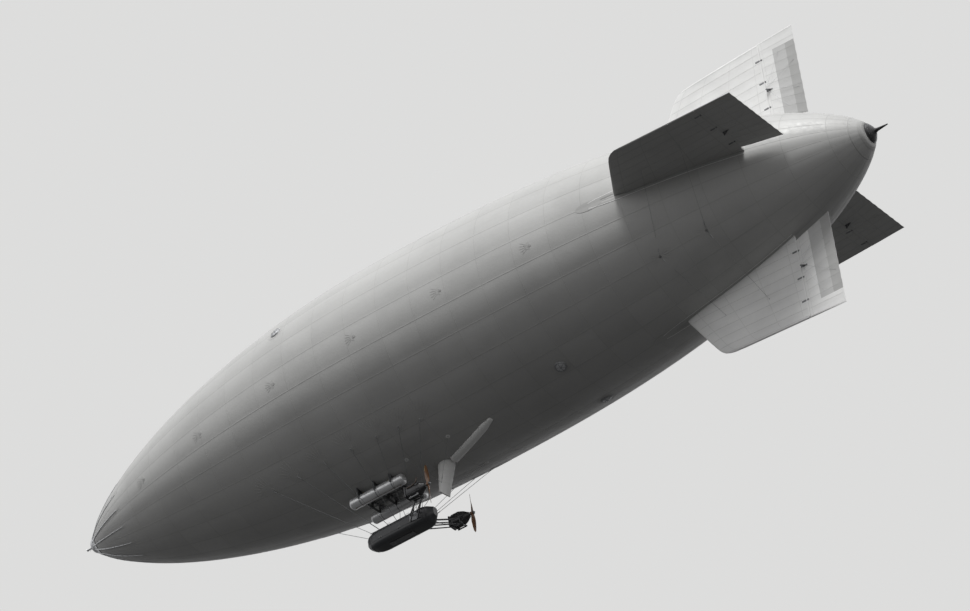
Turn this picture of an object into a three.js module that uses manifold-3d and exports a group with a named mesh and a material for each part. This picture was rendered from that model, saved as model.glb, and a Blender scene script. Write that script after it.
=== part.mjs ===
// Non-rigid airship of the 1920s, as a half-size scale model.
// Units are millimetres. +X points to the nose, +Y to port, +Z up.
// The origin is on the hull's axis, at the centre of buoyancy.
import * as THREE from 'three';
import { mergeVertices, mergeGeometries } from 'three/addons/utils/BufferGeometryUtils.js';
import Module from 'manifold-3d';

const wasm = await Module();
wasm.setup();

// ---------------------------------------------------------------- driving sizes
const HULL_LENGTH = 29850;           // nose to tail tip, half of about 59.7 m
const HULL_RADIUS = 3600;            // at the fattest place
const BUOYANCY_AT = 0.46;            // origin, as a share of the length from the nose
const FAT_AT = 0.45;                 // where the hull is fattest
const FABRIC_END = 0.985;            // where the rounded fabric tail ends
const NOSE_POWER = [2.0, 0.70];      // shape of the bow curve
const TAIL_POWER = [2.5, 0.66];      // shape of the stern curve
const SHELL = 10;                    // envelope wall
const SEGMENTS = 32;                 // around the hull
const GAP = 0.36;                    // between pieces that touch
const NOSE_HOLE = 300;               // radius of the opening that the nose cap closes
const TAIL_HOLE = 330;               // radius of the opening that the tail cap closes

const FIN_HINGE = 26170;             // station of the rudder and elevator hinges
const FIN_TE = 27380;                // station of the trailing edges
const FIN_ROOT_THICK = 170;
const FIN_TIP_THICK = 70;
const COVE = 8;                      // gap between a fin and its moving surface

const CAR_BOW = 9520, CAR_STERN = 12560;
const CAR_DECK = -5140, CAR_KEEL = -5760, CAR_HALF = 375;
const CAR_WALL = 12;
// the car's pieces are drawn at the size above, then brought to the length and height of the car in the photograph
const CAR_SCALE = 0.82, CAR_BOW_AT = 10020, CAR_DECK_AT = -4800;
const CAR_SIDE = CAR_HALF * CAR_SCALE;

const ENGINE_OUT = 1120, ENGINE_Z = -4800;
const PROP_AT = 13100, PROP_RADIUS = 690;

const TANK_FROM = 9930, TANK_TO = 11970, TANK_OUT = 545, TANK_Z = -3730, TANK_R = 175;

const X_NOSE = BUOYANCY_AT * HULL_LENGTH;
const X = (station) => X_NOSE - station;        // station runs aft from the nose

// ---------------------------------------------------------------- materials
const mat = (color, roughness, metalness = 0, extra = {}) =>
  new THREE.MeshStandardMaterial({ color, roughness, metalness, ...extra });
const M = {
  fabric: mat(0xb9bab6, 0.55, 0.15),
  fin: mat(0xb4b5b1, 0.6, 0.1),
  alloy: mat(0xb8bab9, 0.38, 0.85),
  steel: mat(0x5b5c5e, 0.45, 0.8),
  dark: mat(0x1b1d1f, 0.45, 0.1),
  leather: mat(0x3b2a20, 0.7),
  wood: mat(0x6b4a2c, 0.45),
  glass: mat(0xd8e2e4, 0.08, 0, { transparent: true, opacity: 0.3 }),
  black: mat(0x17181a, 0.4, 0.4),
};

// ---------------------------------------------------------------- solids
function solid(geometry) {
  const g = geometry.index ? geometry.clone() : geometry;
  for (const k of Object.keys(g.attributes)) if (k !== 'position') g.deleteAttribute(k);
  const m = mergeVertices(g, 1e-3);
  return new wasm.Manifold(new wasm.Mesh({
    numProp: 3,
    vertProperties: new Float32Array(m.attributes.position.array),
    triVerts: new Uint32Array(m.index.array),
  }));
}
function geometryOf(manifold) {
  const mesh = manifold.getMesh();
  const g = new THREE.BufferGeometry();
  g.setAttribute('position', new THREE.BufferAttribute(new Float32Array(mesh.vertProperties), 3));
  g.setIndex(new THREE.BufferAttribute(new Uint32Array(mesh.triVerts), 1));
  g.computeVertexNormals();
  return g;
}
const joined = (list) => list.reduce((a, b) => a.add(b));
const cut = (a, list) => list.reduce((x, y) => x.subtract(y), a);

const group = new THREE.Group();
function piece(name, shape, material) {
  const g = shape instanceof THREE.BufferGeometry ? shape : geometryOf(shape);
  const mesh = new THREE.Mesh(g, material);
  mesh.name = name;
  group.add(mesh);
  return mesh;
}

const box = (x0, x1, y0, y1, z0, z1) => {
  const g = new THREE.BoxGeometry(x1 - x0, y1 - y0, z1 - z0);
  g.translate((x0 + x1) / 2, (y0 + y1) / 2, (z0 + z1) / 2);
  return solid(g);
};
const V = (x, y, z) => new THREE.Vector3(x, y, z);

// round bar between two points, with its own end radii
function bar(a, b, r0, r1 = r0, sides = 8) {
  const d = b.clone().sub(a);
  const g = new THREE.CylinderGeometry(r1, r0, d.length(), sides, 1);
  g.translate(0, d.length() / 2, 0);
  g.applyQuaternion(new THREE.Quaternion().setFromUnitVectors(V(0, 1, 0), d.normalize()));
  g.translate(a.x, a.y, a.z);
  return solid(g);
}
// body turned about the hull axis direction; profile is [station, radius] pairs, nose first
function turned(profile, y, z, sides) {
  const pts = profile.map(([s, r]) => new THREE.Vector2(r, X(s)));
  pts.reverse();
  const g = new THREE.LatheGeometry(pts, sides);
  g.rotateZ(-Math.PI / 2);            // lathe axis +Y becomes +X
  g.rotateX(Math.PI / sides);
  g.translate(0, y, z);
  return solid(g);
}
// closed loft through rings with equal point counts, rings in order, ends capped by fans
function loft(rings) {
  const n = rings[0].length, pos = [], idx = [];
  rings.forEach((r) => r.forEach((p) => pos.push(p.x, p.y, p.z)));
  for (let i = 0; i + 1 < rings.length; i++)
    for (let j = 0; j < n; j++) {
      const a = i * n + j, b = i * n + (j + 1) % n, c = a + n, d = b + n;
      idx.push(a, b, d, a, d, c);
    }
  for (const [row, flip] of [[0, true], [rings.length - 1, false]]) {
    const c = rings[row].reduce((s, p) => s.add(p), V(0, 0, 0)).multiplyScalar(1 / n);
    const k = pos.length / 3;
    pos.push(c.x, c.y, c.z);
    for (let j = 0; j < n; j++) {
      const a = row * n + j, b = row * n + (j + 1) % n;
      if (flip) idx.push(k, b, a); else idx.push(k, a, b);
    }
  }
  const g = new THREE.BufferGeometry();
  g.setAttribute('position', new THREE.BufferAttribute(new Float32Array(pos), 3));
  g.setIndex(idx);
  let m = solid(g);
  if (m.volume() < 0) {
    for (let i = 0; i < idx.length; i += 3) [idx[i], idx[i + 1]] = [idx[i + 1], idx[i]];
    g.setIndex(idx);
    m = solid(g);
  }
  return m;
}

// ---------------------------------------------------------------- hull shape
function hullRadius(station) {
  const t = station / HULL_LENGTH;
  if (t <= 0 || t >= FABRIC_END) return 0;
  if (t < FAT_AT) {
    const u = 1 - t / FAT_AT;
    return HULL_RADIUS * Math.pow(1 - Math.pow(u, NOSE_POWER[0]), NOSE_POWER[1]);
  }
  const v = (t - FAT_AT) / (FABRIC_END - FAT_AT);
  return HULL_RADIUS * Math.pow(1 - Math.pow(v, TAIL_POWER[0]), TAIL_POWER[1]);
}
function stationAt(radius, from, to) {           // bisection between a thin and a fat station
  let a = from, b = to;
  for (let i = 0; i < 60; i++) {
    const m = (a + b) / 2;
    if (hullRadius(m) < radius) a = m; else b = m;
  }
  return (a + b) / 2;
}
const NOSE_OPEN = stationAt(NOSE_HOLE, 0, 5000);
const TAIL_OPEN = stationAt(TAIL_HOLE, HULL_LENGTH * FABRIC_END, 25000);
// stations of the hull's rings: close together where the curve is tight
const HULL_STATIONS = [NOSE_OPEN, 320, 700, 1250, 2000, 3100, 4700, 6800, 9400, 12400,
  15600, 18600, 21000, 23000, 24700, 26100, 27200, 28050, 28700, TAIL_OPEN];
const ringProfile = (offset) => HULL_STATIONS.map((s) => [s, hullRadius(s) + offset]);

function hullBody(offset, front = 0, back = 0) { // solid hull, for cutting neighbours
  const p = ringProfile(offset);
  return turned([[p[0][0] - front, 0], [p[0][0] - front, p[0][1]], ...p,
    [p[p.length - 1][0] + back, p[p.length - 1][1]], [p[p.length - 1][0] + back, 0]], 0, 0, SEGMENTS);
}
const hullCutter = hullBody(GAP);

// the envelope: a 10 mm shell, open where the nose cap and the tail cap close it
{
  const outer = ringProfile(0), inner = ringProfile(-SHELL).reverse();
  piece('envelope', turned([...outer, ...inner, outer[0]], 0, 0, SEGMENTS), M.fabric);
}

// nose cap with its battens, which lie on the fabric
{
  const BATTENS = 16, BATTEN_TO = 2000, BATTEN_WIDE = 46, BATTEN_HIGH = 22;
  const front = HULL_STATIONS.filter((s) => s <= BATTEN_TO);
  const under = (s) => hullRadius(s) + (s <= 320 ? 10 : GAP);   // inside the cap's own thickness at its edge
  const layer = turned([...front.map((s) => [s, hullRadius(s) + BATTEN_HIGH]),
    ...front.map((s) => [s, under(s)]).reverse(), [front[0], hullRadius(front[0]) + BATTEN_HIGH]],
    0, 0, SEGMENTS);
  const blades = [];
  for (let i = 0; i < BATTENS; i++) {
    const g = new THREE.BoxGeometry(BATTEN_TO + 400, BATTEN_WIDE, 3000);
    g.translate(X(BATTEN_TO / 2 + 150), 0, 1500);
    g.rotateX((i + 0.5) * 2 * Math.PI / BATTENS);
    blades.push(solid(g));
  }
  const strips = layer.intersect(joined(blades));
  const capStation = 320;
  const cap = turned([[-60, 0], [-60, 60], [-30, 130], [30, 225], [NOSE_OPEN, hullRadius(NOSE_OPEN) + 24],
    [capStation, hullRadius(capStation) + 24], [capStation, hullRadius(capStation) + GAP],
    [NOSE_OPEN, hullRadius(NOSE_OPEN) + GAP], [NOSE_OPEN - GAP, hullRadius(NOSE_OPEN) + GAP], [NOSE_OPEN - GAP, 0]], 0, 0, SEGMENTS);
  piece('nose_cap', cap.add(strips), M.alloy);
}
// mooring cone in front of the cap, with a flat face at its tip
piece('mooring_cone', turned([[-270, 0], [-270, 34], [-262, 42], [-238, 42], [-228, 26], [-130, 26], [-90, 58],
  [-60 - GAP, 58], [-60 - GAP, 0]], 0, 0, 16), M.steel);

// tail cap: a shallow dome and a short spike
piece('tail_cap', turned([[TAIL_OPEN + GAP, 0], [TAIL_OPEN + GAP, TAIL_HOLE - 2], [29330, 235], [29385, 120],
  [29440, 62], [29640, 36], [HULL_LENGTH, 16], [HULL_LENGTH, 0]], 0, 0, 20), M.dark);

// ---------------------------------------------------------------- fins and moving surfaces
// plan of each fin: [station, distance from the axis]; the root is cut to the hull afterwards
const FINS = [
  // name, surface, turn about X from upright, tip at the leading corner, tip at the trailing edge
  { fin: 'upper_fin', surface: 'upper_rudder', turn: 0, tipLead: 4880, tipTrail: 5120 },
  { fin: 'lower_fin', surface: 'lower_rudder', turn: 180, tipLead: 4880, tipTrail: 5120 },
  { fin: 'port_fin', surface: 'port_elevator', turn: 90, tipLead: 4850, tipTrail: 4680 },
  { fin: 'starboard_fin', surface: 'starboard_elevator', turn: -90, tipLead: 4850, tipTrail: 4680 },
];
const HINGE_PIN = 9, HINGE_EYE = 26;
const FIN_REAR_THICK = 64;           // fins taper to this at the hinge line
const SURFACE_ROOT = [2260, 1840];   // distance from the axis at the hinge and at the trailing edge
const thickAt = (d) => THREE.MathUtils.lerp(FIN_ROOT_THICK, FIN_TIP_THICK,
  THREE.MathUtils.clamp((d - 2300) / (4900 - 2300), 0, 1));

for (const f of FINS) {
  const tipAt = (s) => THREE.MathUtils.lerp(f.tipLead, f.tipTrail, (s - 23450) / (FIN_TE - 23450));
  const turn = (m) => m.rotate([-f.turn, 0, 0]);
  // fin: sections at constant distance from the axis, a thin rounded leading edge, thickest at the hinge
  const rows = [ // distance from the axis, station of the leading edge
    [1700, 21400], [3250, 22230], [4480, 22930], [tipAt(23450) - 60, 23320]];
  const finEnd = FIN_HINGE - HINGE_EYE - COVE;
  const section = (d, lead, trail, t0, t1, grow) => {
    // points around a flat section: leading edge round, thickest at a fifth to a third, square trailing edge
    const h0 = t0 / 2, h1 = t1 / 2, L = trail - lead;
    return [[0, 0], [0.012, 0.42], [0.05, 0.75], [0.2, 1], [1, null], [1, -null], [0.2, -1], [0.05, -0.75], [0.012, -0.42]]
      .map(([a, b], i) => {
        const y = i === 4 ? h1 : i === 5 ? -h1 : b * h0;
        return V(X(lead + a * L), y, d);
      });
  };
  const rings = rows.map(([d, lead]) => section(d, lead, finEnd, thickAt(d), FIN_REAR_THICK));
  {
    // tip row follows the slanted tip line
    const last = rows[rows.length - 1];
    const ring = section(last[0], last[1], finEnd, thickAt(last[0]), FIN_REAR_THICK);
    ring.forEach((p) => { p.z = tipAt(X_NOSE - p.x) - 22; });
    rings[rings.length - 1] = ring;
    const cap = ring.map((p) => V(p.x, p.y * 0.45, p.z + 22));
    cap.forEach((p, i) => { if (i !== 4 && i !== 5) p.x -= (p.x - X(24700)) * 0.03; });
    rings.push(cap);
  }
  let fin = loft(rings);
  // moving surface: round nose on the hinge axis, thin trailing edge
  const th = (d) => Math.min(thickAt(d), 2 * HINGE_EYE + 60);
  const surfSection = (d, z, k = 1) => {
    const r = HINGE_EYE * k, t = th(d) / 2 * k, out = [];
    for (let i = 0; i <= 6; i++) {     // nose arc
      const a = Math.PI / 2 + (i / 6) * Math.PI;
      out.push(V(X(FIN_HINGE) - Math.cos(a) * r * 1, -Math.sin(a) * r, z(FIN_HINGE)));
    }
    return [
      ...out,
      V(X(FIN_HINGE + 300), t * 0.62, z(FIN_HINGE + 300)),
      V(X(FIN_TE), 4 * k, z(FIN_TE)), V(X(FIN_TE), -4 * k, z(FIN_TE)),
      V(X(FIN_HINGE + 300), -t * 0.62, z(FIN_HINGE + 300)),
    ];
  };
  const tipZ = (s) => tipAt(s);
  const rootZ = (s) => THREE.MathUtils.lerp(...SURFACE_ROOT, (s - FIN_HINGE) / (FIN_TE - FIN_HINGE));
  let surface = loft([
    surfSection(2300, rootZ), surfSection(4000, () => 4000),
    surfSection(4900, (s) => tipZ(s) - 20), surfSection(4900, (s) => tipZ(s), 0.5)]);
  // three hinges: an eye on the fin, a pin on the surface
  const spans = [2650, 3600, 4420];
  for (const d of spans) {
    const eye = joined([bar(V(X(FIN_HINGE), 0, d - 15), V(X(FIN_HINGE), 0, d + 15), HINGE_EYE - 6, HINGE_EYE - 6, 12),
      box(X(FIN_HINGE), X(finEnd - 60), -14, 14, d - 15, d + 15)]);
    fin = fin.add(eye);
    surface = surface.subtract(box(X(FIN_HINGE + HINGE_EYE + 14), X(FIN_HINGE - HINGE_EYE - 40), -90, 90, d - 21, d + 21));
  }
  for (const d of spans) {
    const pin = (r, h) => bar(V(X(FIN_HINGE), 0, d - h), V(X(FIN_HINGE), 0, d + h), r, r, 12);
    fin = fin.subtract(pin(HINGE_PIN + 0.5, 60));
    surface = surface.add(pin(HINGE_PIN, 40));
  }
  piece(f.fin, turn(fin).subtract(hullCutter), M.fin);
  piece(f.surface, turn(surface).subtract(hullBody(12)), M.fin);
}

// ---------------------------------------------------------------- the car
const carPiece = (name, m, material) => piece(name, m.translate([-X(CAR_BOW), 0, -CAR_DECK])
  .scale([CAR_SCALE, CAR_SCALE, CAR_SCALE]).translate([X(CAR_BOW_AT), 0, CAR_DECK_AT]), material);
// sections: station, half width, deck height, keel height
const CAR = [
  [CAR_BOW, 60, CAR_DECK - 110, CAR_KEEL + 300],
  [CAR_BOW + 60, 150, CAR_DECK - 70, CAR_KEEL + 190],
  [CAR_BOW + 200, 255, CAR_DECK - 25, CAR_KEEL + 80],
  [CAR_BOW + 420, 335, CAR_DECK, CAR_KEEL + 15],
  [CAR_BOW + 750, CAR_HALF, CAR_DECK, CAR_KEEL],
  [CAR_STERN - 500, CAR_HALF, CAR_DECK, CAR_KEEL],
  [CAR_STERN - 200, 310, CAR_DECK, CAR_KEEL + 60],
  [CAR_STERN, 130, CAR_DECK - 30, CAR_KEEL + 240],
];
function carRing(s, w, top, low, inset) {
  const W = w - inset, T = top - inset, B = low + inset;
  const rt = Math.min(70, W * 0.5), rb = Math.min(190, W * 0.8, (T - B) * 0.55), out = [];
  const arc = (cy, cz, r, a0) => {
    for (let i = 0; i <= 3; i++) {
      const a = (a0 + i * 30) * Math.PI / 180;
      out.push(V(X(s), cy + r * Math.cos(a), cz + r * Math.sin(a)));
    }
  };
  arc(W - rt, T - rt, rt, 0); arc(-W + rt, T - rt, rt, 90);
  arc(-W + rb, B + rb, rb, 180); arc(W - rb, B + rb, rb, 270);
  return out;
}
const carLoft = (inset) => loft(CAR.map(([s, w, t, b], i) =>
  carRing(s + (i === 0 ? inset : i === CAR.length - 1 ? -inset : 0), w, t, b, inset)));
// cockpits: station of the front edge and the rear edge, half width
const COCKPITS = [
  { name: 'front', from: 9985, to: 10585, half: 250 },
  { name: 'middle', from: 10845, to: 11445, half: 250 },
  { name: 'rear', from: 11690, to: 12210, half: 235 },
];
{
  const holes = COCKPITS.map((c) => {
    const L = (c.to - c.from) / 2, r = 150, sh = new THREE.Shape(), w = c.half;
    sh.moveTo(-L + r, -w); sh.lineTo(L - r, -w); sh.absarc(L - r, -w + r, r, -Math.PI / 2, 0);
    sh.lineTo(L, w - r); sh.absarc(L - r, w - r, r, 0, Math.PI / 2);
    sh.lineTo(-L + r, w); sh.absarc(-L + r, w - r, r, Math.PI / 2, Math.PI);
    sh.lineTo(-L, -w + r); sh.absarc(-L + r, -w + r, r, Math.PI, 1.5 * Math.PI);
    const g = new THREE.ExtrudeGeometry(sh, { depth: 200, bevelEnabled: false, curveSegments: 3 });
    g.translate(X((c.from + c.to) / 2), 0, CAR_DECK - 100);
    return solid(g);
  });
  carPiece('car_hull', cut(carLoft(0), [carLoft(CAR_WALL), ...holes]), M.dark);
}
// padded cockpit rims
COCKPITS.forEach((c) => {
  const L = (c.to - c.from) / 2, r = 150, w = c.half;
  const ring = (o) => {
    const sh = o.path;
    const e = o.grow;
    const Lx = L + e, wy = w + e, rr = r + e;
    sh.moveTo(-Lx + rr, -wy); sh.lineTo(Lx - rr, -wy); sh.absarc(Lx - rr, -wy + rr, rr, -Math.PI / 2, 0);
    sh.lineTo(Lx, wy - rr); sh.absarc(Lx - rr, wy - rr, rr, 0, Math.PI / 2);
    sh.lineTo(-Lx + rr, wy); sh.absarc(-Lx + rr, wy - rr, rr, Math.PI / 2, Math.PI);
    sh.lineTo(-Lx, -wy + rr); sh.absarc(-Lx + rr, -wy + rr, rr, Math.PI, 1.5 * Math.PI);
    return sh;
  };
  const outer = ring({ path: new THREE.Shape(), grow: 18 });
  outer.holes.push(ring({ path: new THREE.Path(), grow: -8 }));
  const g = new THREE.ExtrudeGeometry(outer, { depth: 24, bevelEnabled: false, curveSegments: 3 });
  g.translate(X((c.from + c.to) / 2), 0, CAR_DECK + GAP);
  carPiece(`${c.name}_cockpit_rim`, solid(g), M.leather);
});
// seats: a base on the floor and a back, one solid each
const FLOOR = CAR_KEEL + CAR_WALL;
COCKPITS.forEach((c) => {
  const s1 = c.to - 30, s0 = s1 - 250, w = c.half - 60;
  const base = box(X(s1), X(s0), -w, w, FLOOR + GAP, FLOOR + 190);
  const back = loft([0, 1].map((k) => [[s1, -w], [s1 - 60, -w], [s1 - 60, w], [s1, w]]
    .map(([s, y]) => V(X(s + 40 * k), y * (1 - 0.06 * k), FLOOR + 150 + 330 * k))));
  carPiece(`${c.name}_seat`, base.add(back).intersect(carLoft(CAR_WALL + GAP)), M.leather);
});
// windscreens: bent glass in front of each cockpit, standing on the deck
COCKPITS.forEach((c) => {
  const rows = [], H = 150, T = 8;
  for (let k = 0; k <= 8; k++) {
    const a = (k / 8 - 0.5) * 1.9, y = Math.sin(a) * 250, s = c.from - 40 + (1 - Math.cos(a)) * 150;
    const h = H - Math.abs(k - 4) * 9;
    rows.push([V(X(s), y, CAR_DECK + GAP), V(X(s - T), y, CAR_DECK + GAP),
      V(X(s + 35 - T), y * 0.95, CAR_DECK + GAP + h), V(X(s + 35), y * 0.95, CAR_DECK + GAP + h)]);
  }
  carPiece(`${c.name}_windscreen`, loft(rows).subtract(box(X(c.to), X(c.from - 19), -c.half - 19, c.half + 19, CAR_DECK, CAR_DECK + 25)), M.glass);
});
// pilot's panel under the front deck, and the two hand wheels beside it
{
  const s = 9975;
  carPiece('instrument_panel', box(X(s + 14), X(s), -215, 215, CAR_DECK - 260, CAR_DECK).intersect(carLoft(CAR_WALL + GAP)), M.wood);
  const wheel = (y, z, sx) => {
    const hub = bar(V(X(s + 14 + GAP), y, z), V(X(sx), y, z), 14, 14, 8);
    const rim = new THREE.TorusGeometry(115, 9, 5, 16);
    rim.rotateY(Math.PI / 2);
    rim.translate(X(sx - 8), y, z);
    const spokes = [0, 1, 2].map((k) => {
      const a = k * 2 * Math.PI / 3 + Math.PI / 2;
      return bar(V(X(sx - 8), y, z), V(X(sx - 8), y + 112 * Math.cos(a), z + 112 * Math.sin(a)), 6, 6, 6);
    });
    return joined([hub, solid(rim), ...spokes]);
  };
  carPiece('rudder_wheel', wheel(0, CAR_DECK - 235, s + 120), M.wood);
}
{
  // the elevator wheel stands crosswise at the port wall
  const y = 300, s = 10190, z = -5385, r = 105;
  const rim = new THREE.TorusGeometry(r, 9, 5, 16);
  rim.rotateX(Math.PI / 2);
  rim.translate(X(s), y, z);
  const spokes = [0, 1, 2].map((k) => {
    const a = k * 2 * Math.PI / 3 + Math.PI / 2;
    return bar(V(X(s), y, z), V(X(s) + (r - 3) * Math.cos(a), y, z + (r - 3) * Math.sin(a)), 6, 6, 6);
  });
  carPiece('elevator_wheel', joined([bar(V(X(s), y - 14, z), V(X(s), CAR_HALF - CAR_WALL - GAP - 17, z), 13, 13, 8),
    bar(V(X(s), y + 30, z), V(X(s), 344, z), 13, 13, 8), solid(rim), ...spokes]), M.wood);
}
// keel plate, flat underneath
carPiece('keel_plate', box(X(11560), X(10480), -110, 110, CAR_KEEL - 26, CAR_KEEL - GAP), M.steel);

// ---------------------------------------------------------------- power cars' outriggers, engines, propellers
for (const [side, k] of [['port', 1], ['starboard', -1]]) {
  const P = (s, y, z) => V(X(s), k * y, z);
  const kbox = (s0, s1, y0, y1, z0, z1) => box(X(s1), X(s0), Math.min(k * y0, k * y1), Math.max(k * y0, k * y1), z0, z1);
  const yc = ENGINE_OUT, zc = ENGINE_Z;
  // nacelle: radiator face in front, round tail; sections by table: station, half width, half height, rise
  const NAC = [[12360, 150, 175, 0], [12391, 178, 205, 0], [12509, 192, 222, 0], [12695, 190, 218, 0],
    [12837, 150, 170, 0], [12955, 92, 96, 0], [12996, 74, 76, 0]];
  const ring = ([s, w, h]) => {
    const out = [];
    for (let i = 0; i < 16; i++) {
      const a = i / 16 * 2 * Math.PI, c = Math.cos(a), q = Math.sin(a);
      const e = 0.72;
      out.push(P(s, yc + k * w * Math.sign(c) * Math.pow(Math.abs(c), e), zc + h * Math.sign(q) * Math.pow(Math.abs(q), e)));
    }
    return out;
  };
  const nacelle = loft(NAC.map(ring));
  const bore = bar(P(12890, yc, zc), P(13090, yc, zc), 25.5, 25.5, 16);
  const mouth = bar(P(12280, yc, zc), P(12368, yc, zc), 90, 90, 12);
  // bearer beams under the nacelle, part of the outrigger
  const bearers = [-1, 1].map((q) => kbox(12447, 12782, yc + q * 110 - 16, yc + q * 110 + 16, zc - 262, zc - 232));
  const plate = kbox(11760, 12100, CAR_SIDE + GAP, CAR_SIDE + 12, -5140, -4880);
  // columns: station and height on the car, station at the engine
  const feet = [[11800, -4905, 12490], [12060, -4905, 12738], [11800, -5115, 12490], [12060, -5115, 12738]];
  const tubes = feet.flatMap(([s, z, to], i) => {
    const up = i < 2;
    return [bar(P(s, CAR_SIDE + 6, z), P(to, yc - (up ? 200 : 110), up ? zc - 120 : zc - 250), 19, 16, 8)];
  });
  const cross = [12490, 12738].map((s) => kbox(s - 16, s + 16, yc - 216, yc + 126, zc - 262, zc - 232));
  const posts = [12490, 12738].map((s) => kbox(s - 16, s + 16, yc - 216, yc - 194, zc - 240, zc - 100));
  const brace = [bar(P(12060, CAR_SIDE + 6, -4905), P(12490, yc - 110, zc - 250), 11, 11, 6)];
  piece(`${side}_outrigger`, joined([plate, ...tubes, ...cross, ...posts, ...bearers, ...brace])
    .subtract(nacelle).subtract(kbox(11500, 12700, 0, CAR_SIDE + GAP, zc - 600, zc + 300)), M.steel);
  // nacelle kept clear of its bearers
  const clear = kbox(12400, 12830, yc - 240, yc + 140, zc - 300, zc - 225);
  piece(`${side}_engine`, cut(nacelle, [bore, mouth, clear,
    ...[12490, 12738].map((s) => kbox(s - 17, s + 17, yc - 230, yc - 190, zc - 245, zc - 98)),
    ...feet.slice(0, 2).map(([s, z, to]) => bar(P(s, CAR_SIDE + 6, z), P(to + 4, yc - 196, zc - 119), 19.8, 17, 8))]), M.black);
  // radiator in front of the nacelle
  piece(`${side}_radiator`, kbox(12315, 12360 - GAP, yc - 165, yc + 165, zc - 185, zc + 195), M.steel);
  // exhaust: a pipe along the outer side, turned up at its end
  const ex = [[12453, yc + 205, zc + 60], [12670, yc + 212, zc + 70], [12819, yc + 235, zc + 120], [12868, yc + 245, zc + 230]];
  const pipe = [];
  for (let i = 0; i + 1 < ex.length; i++) pipe.push(bar(P(...ex[i]), P(...ex[i + 1]), 20, 20, 6));
  const knee = ex.slice(1, -1).map((e) => { const g = new THREE.SphereGeometry(20.5, 6, 4); const p = P(...e); g.translate(p.x, p.y, p.z); return solid(g); });
  const stubs = [12496, 12571, 12645].map((s) => bar(P(s, yc + 150, zc + 60), P(s, yc + 207, zc + 62), 13, 13, 6));
  piece(`${side}_exhaust`, joined([...pipe, ...knee, ...stubs]).subtract(loft(NAC.map(([s, w, h]) => ring([s, w + 0.4, h + 0.4])))), M.steel);
  // pusher propeller: hub, shaft and two wooden blades
  const hub = turned([[12925, 0], [12925, 25], [PROP_AT - 62, 25], [PROP_AT - 62, 62], [PROP_AT + 50, 62], [PROP_AT + 85, 40],
    [PROP_AT + 100, 0]], k * yc, zc, 16);
  // blade table: radius, chord, thickness, twist in degrees
  const BLADE = [[20, 70, 52, 75], [120, 105, 44, 62], [260, 135, 30, 44], [430, 130, 20, 30], [580, 100, 13, 23], [665, 60, 8, 20], [PROP_RADIUS, 20, 5, 19]];
  const blades = [0, 180].map((turn) => {
    const rings = BLADE.map(([r, c, t, tw]) => {
      const a = (90 - tw) * Math.PI / 180 * k, out = [];
      for (let i = 0; i < 10; i++) {
        const q = i / 10 * 2 * Math.PI, u = Math.cos(q) * c / 2, v = Math.sin(q) * t / 2;
        out.push(V(u * Math.cos(a) - v * Math.sin(a), u * Math.sin(a) + v * Math.cos(a), r));
      }
      return out;
    });
    return loft(rings).rotate([turn, 0, 0]).translate([X(PROP_AT), k * yc, zc]);
  });
  piece(`${side}_propeller`, joined([hub, ...blades]), M.wood);
}

// ---------------------------------------------------------------- fuel tanks under the belly
for (const [side, k] of [['port', 1], ['starboard', -1]])
  piece(`${side}_fuel_tank`, turned([[TANK_FROM, 0], [TANK_FROM + 12, 90], [TANK_FROM + 50, 150], [TANK_FROM + 110, TANK_R],
    [TANK_TO - 110, TANK_R], [TANK_TO - 50, 150], [TANK_TO - 12, 90], [TANK_TO, 0]], k * TANK_OUT, TANK_Z, 20), M.alloy);
{
  const SADDLES = [10350, 10950, 11550];
  const saddles = SADDLES.map((s) => box(X(s + 22), X(s - 22), -760, 760, TANK_Z - 40, -3100));
  const rail = box(X(11650), X(10250), -26, 26, TANK_Z - 20, TANK_Z + 130);
  const bores = [1, -1].map((k) => turned([[TANK_FROM - 50, 0], [TANK_FROM - 50, TANK_R + GAP], [TANK_TO + 50, TANK_R + GAP], [TANK_TO + 50, 0]],
    k * TANK_OUT, TANK_Z, 20));
  const lighten = SADDLES.flatMap((s) => [1, -1].map((k) => box(X(s + 60), X(s - 60), Math.min(k * 50, k * 340), Math.max(k * 50, k * 340),
    TANK_Z + 10, -(hullRadius(s) + 45))));
  piece('tank_cradle', cut(joined([...saddles, rail]), [...bores, ...lighten, hullCutter]), M.steel);
}

// ---------------------------------------------------------------- air scoop behind the car
{
  // a duct that hangs from the hull and narrows to its mouth, which is cut slanting so that it faces forward
  const axis = [[12900, -4700], [13230, -3250]];
  const tube = (r0, r1, a, b) => {
    const p = V(X(a[0]), 0, a[1]), q = V(X(b[0]), 0, b[1]);
    return bar(p, q, r0, r1, 16);
  };
  const at = (t) => [THREE.MathUtils.lerp(axis[0][0], axis[1][0], t), THREE.MathUtils.lerp(axis[0][1], axis[1][1], t)];
  const outer = tube(160, 300, at(0), at(1));
  const inner = tube(148, 288, at(-0.001), at(0.985));
  const c = at(0.09), n = [-Math.SQRT1_2, 0, Math.SQRT1_2];
  const wide = outer.subtract(inner).trimByPlane(n, n[0] * X(c[0]) + n[2] * c[1]);
  piece('air_scoop', wide.subtract(hullCutter), M.fabric);
}
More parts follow.
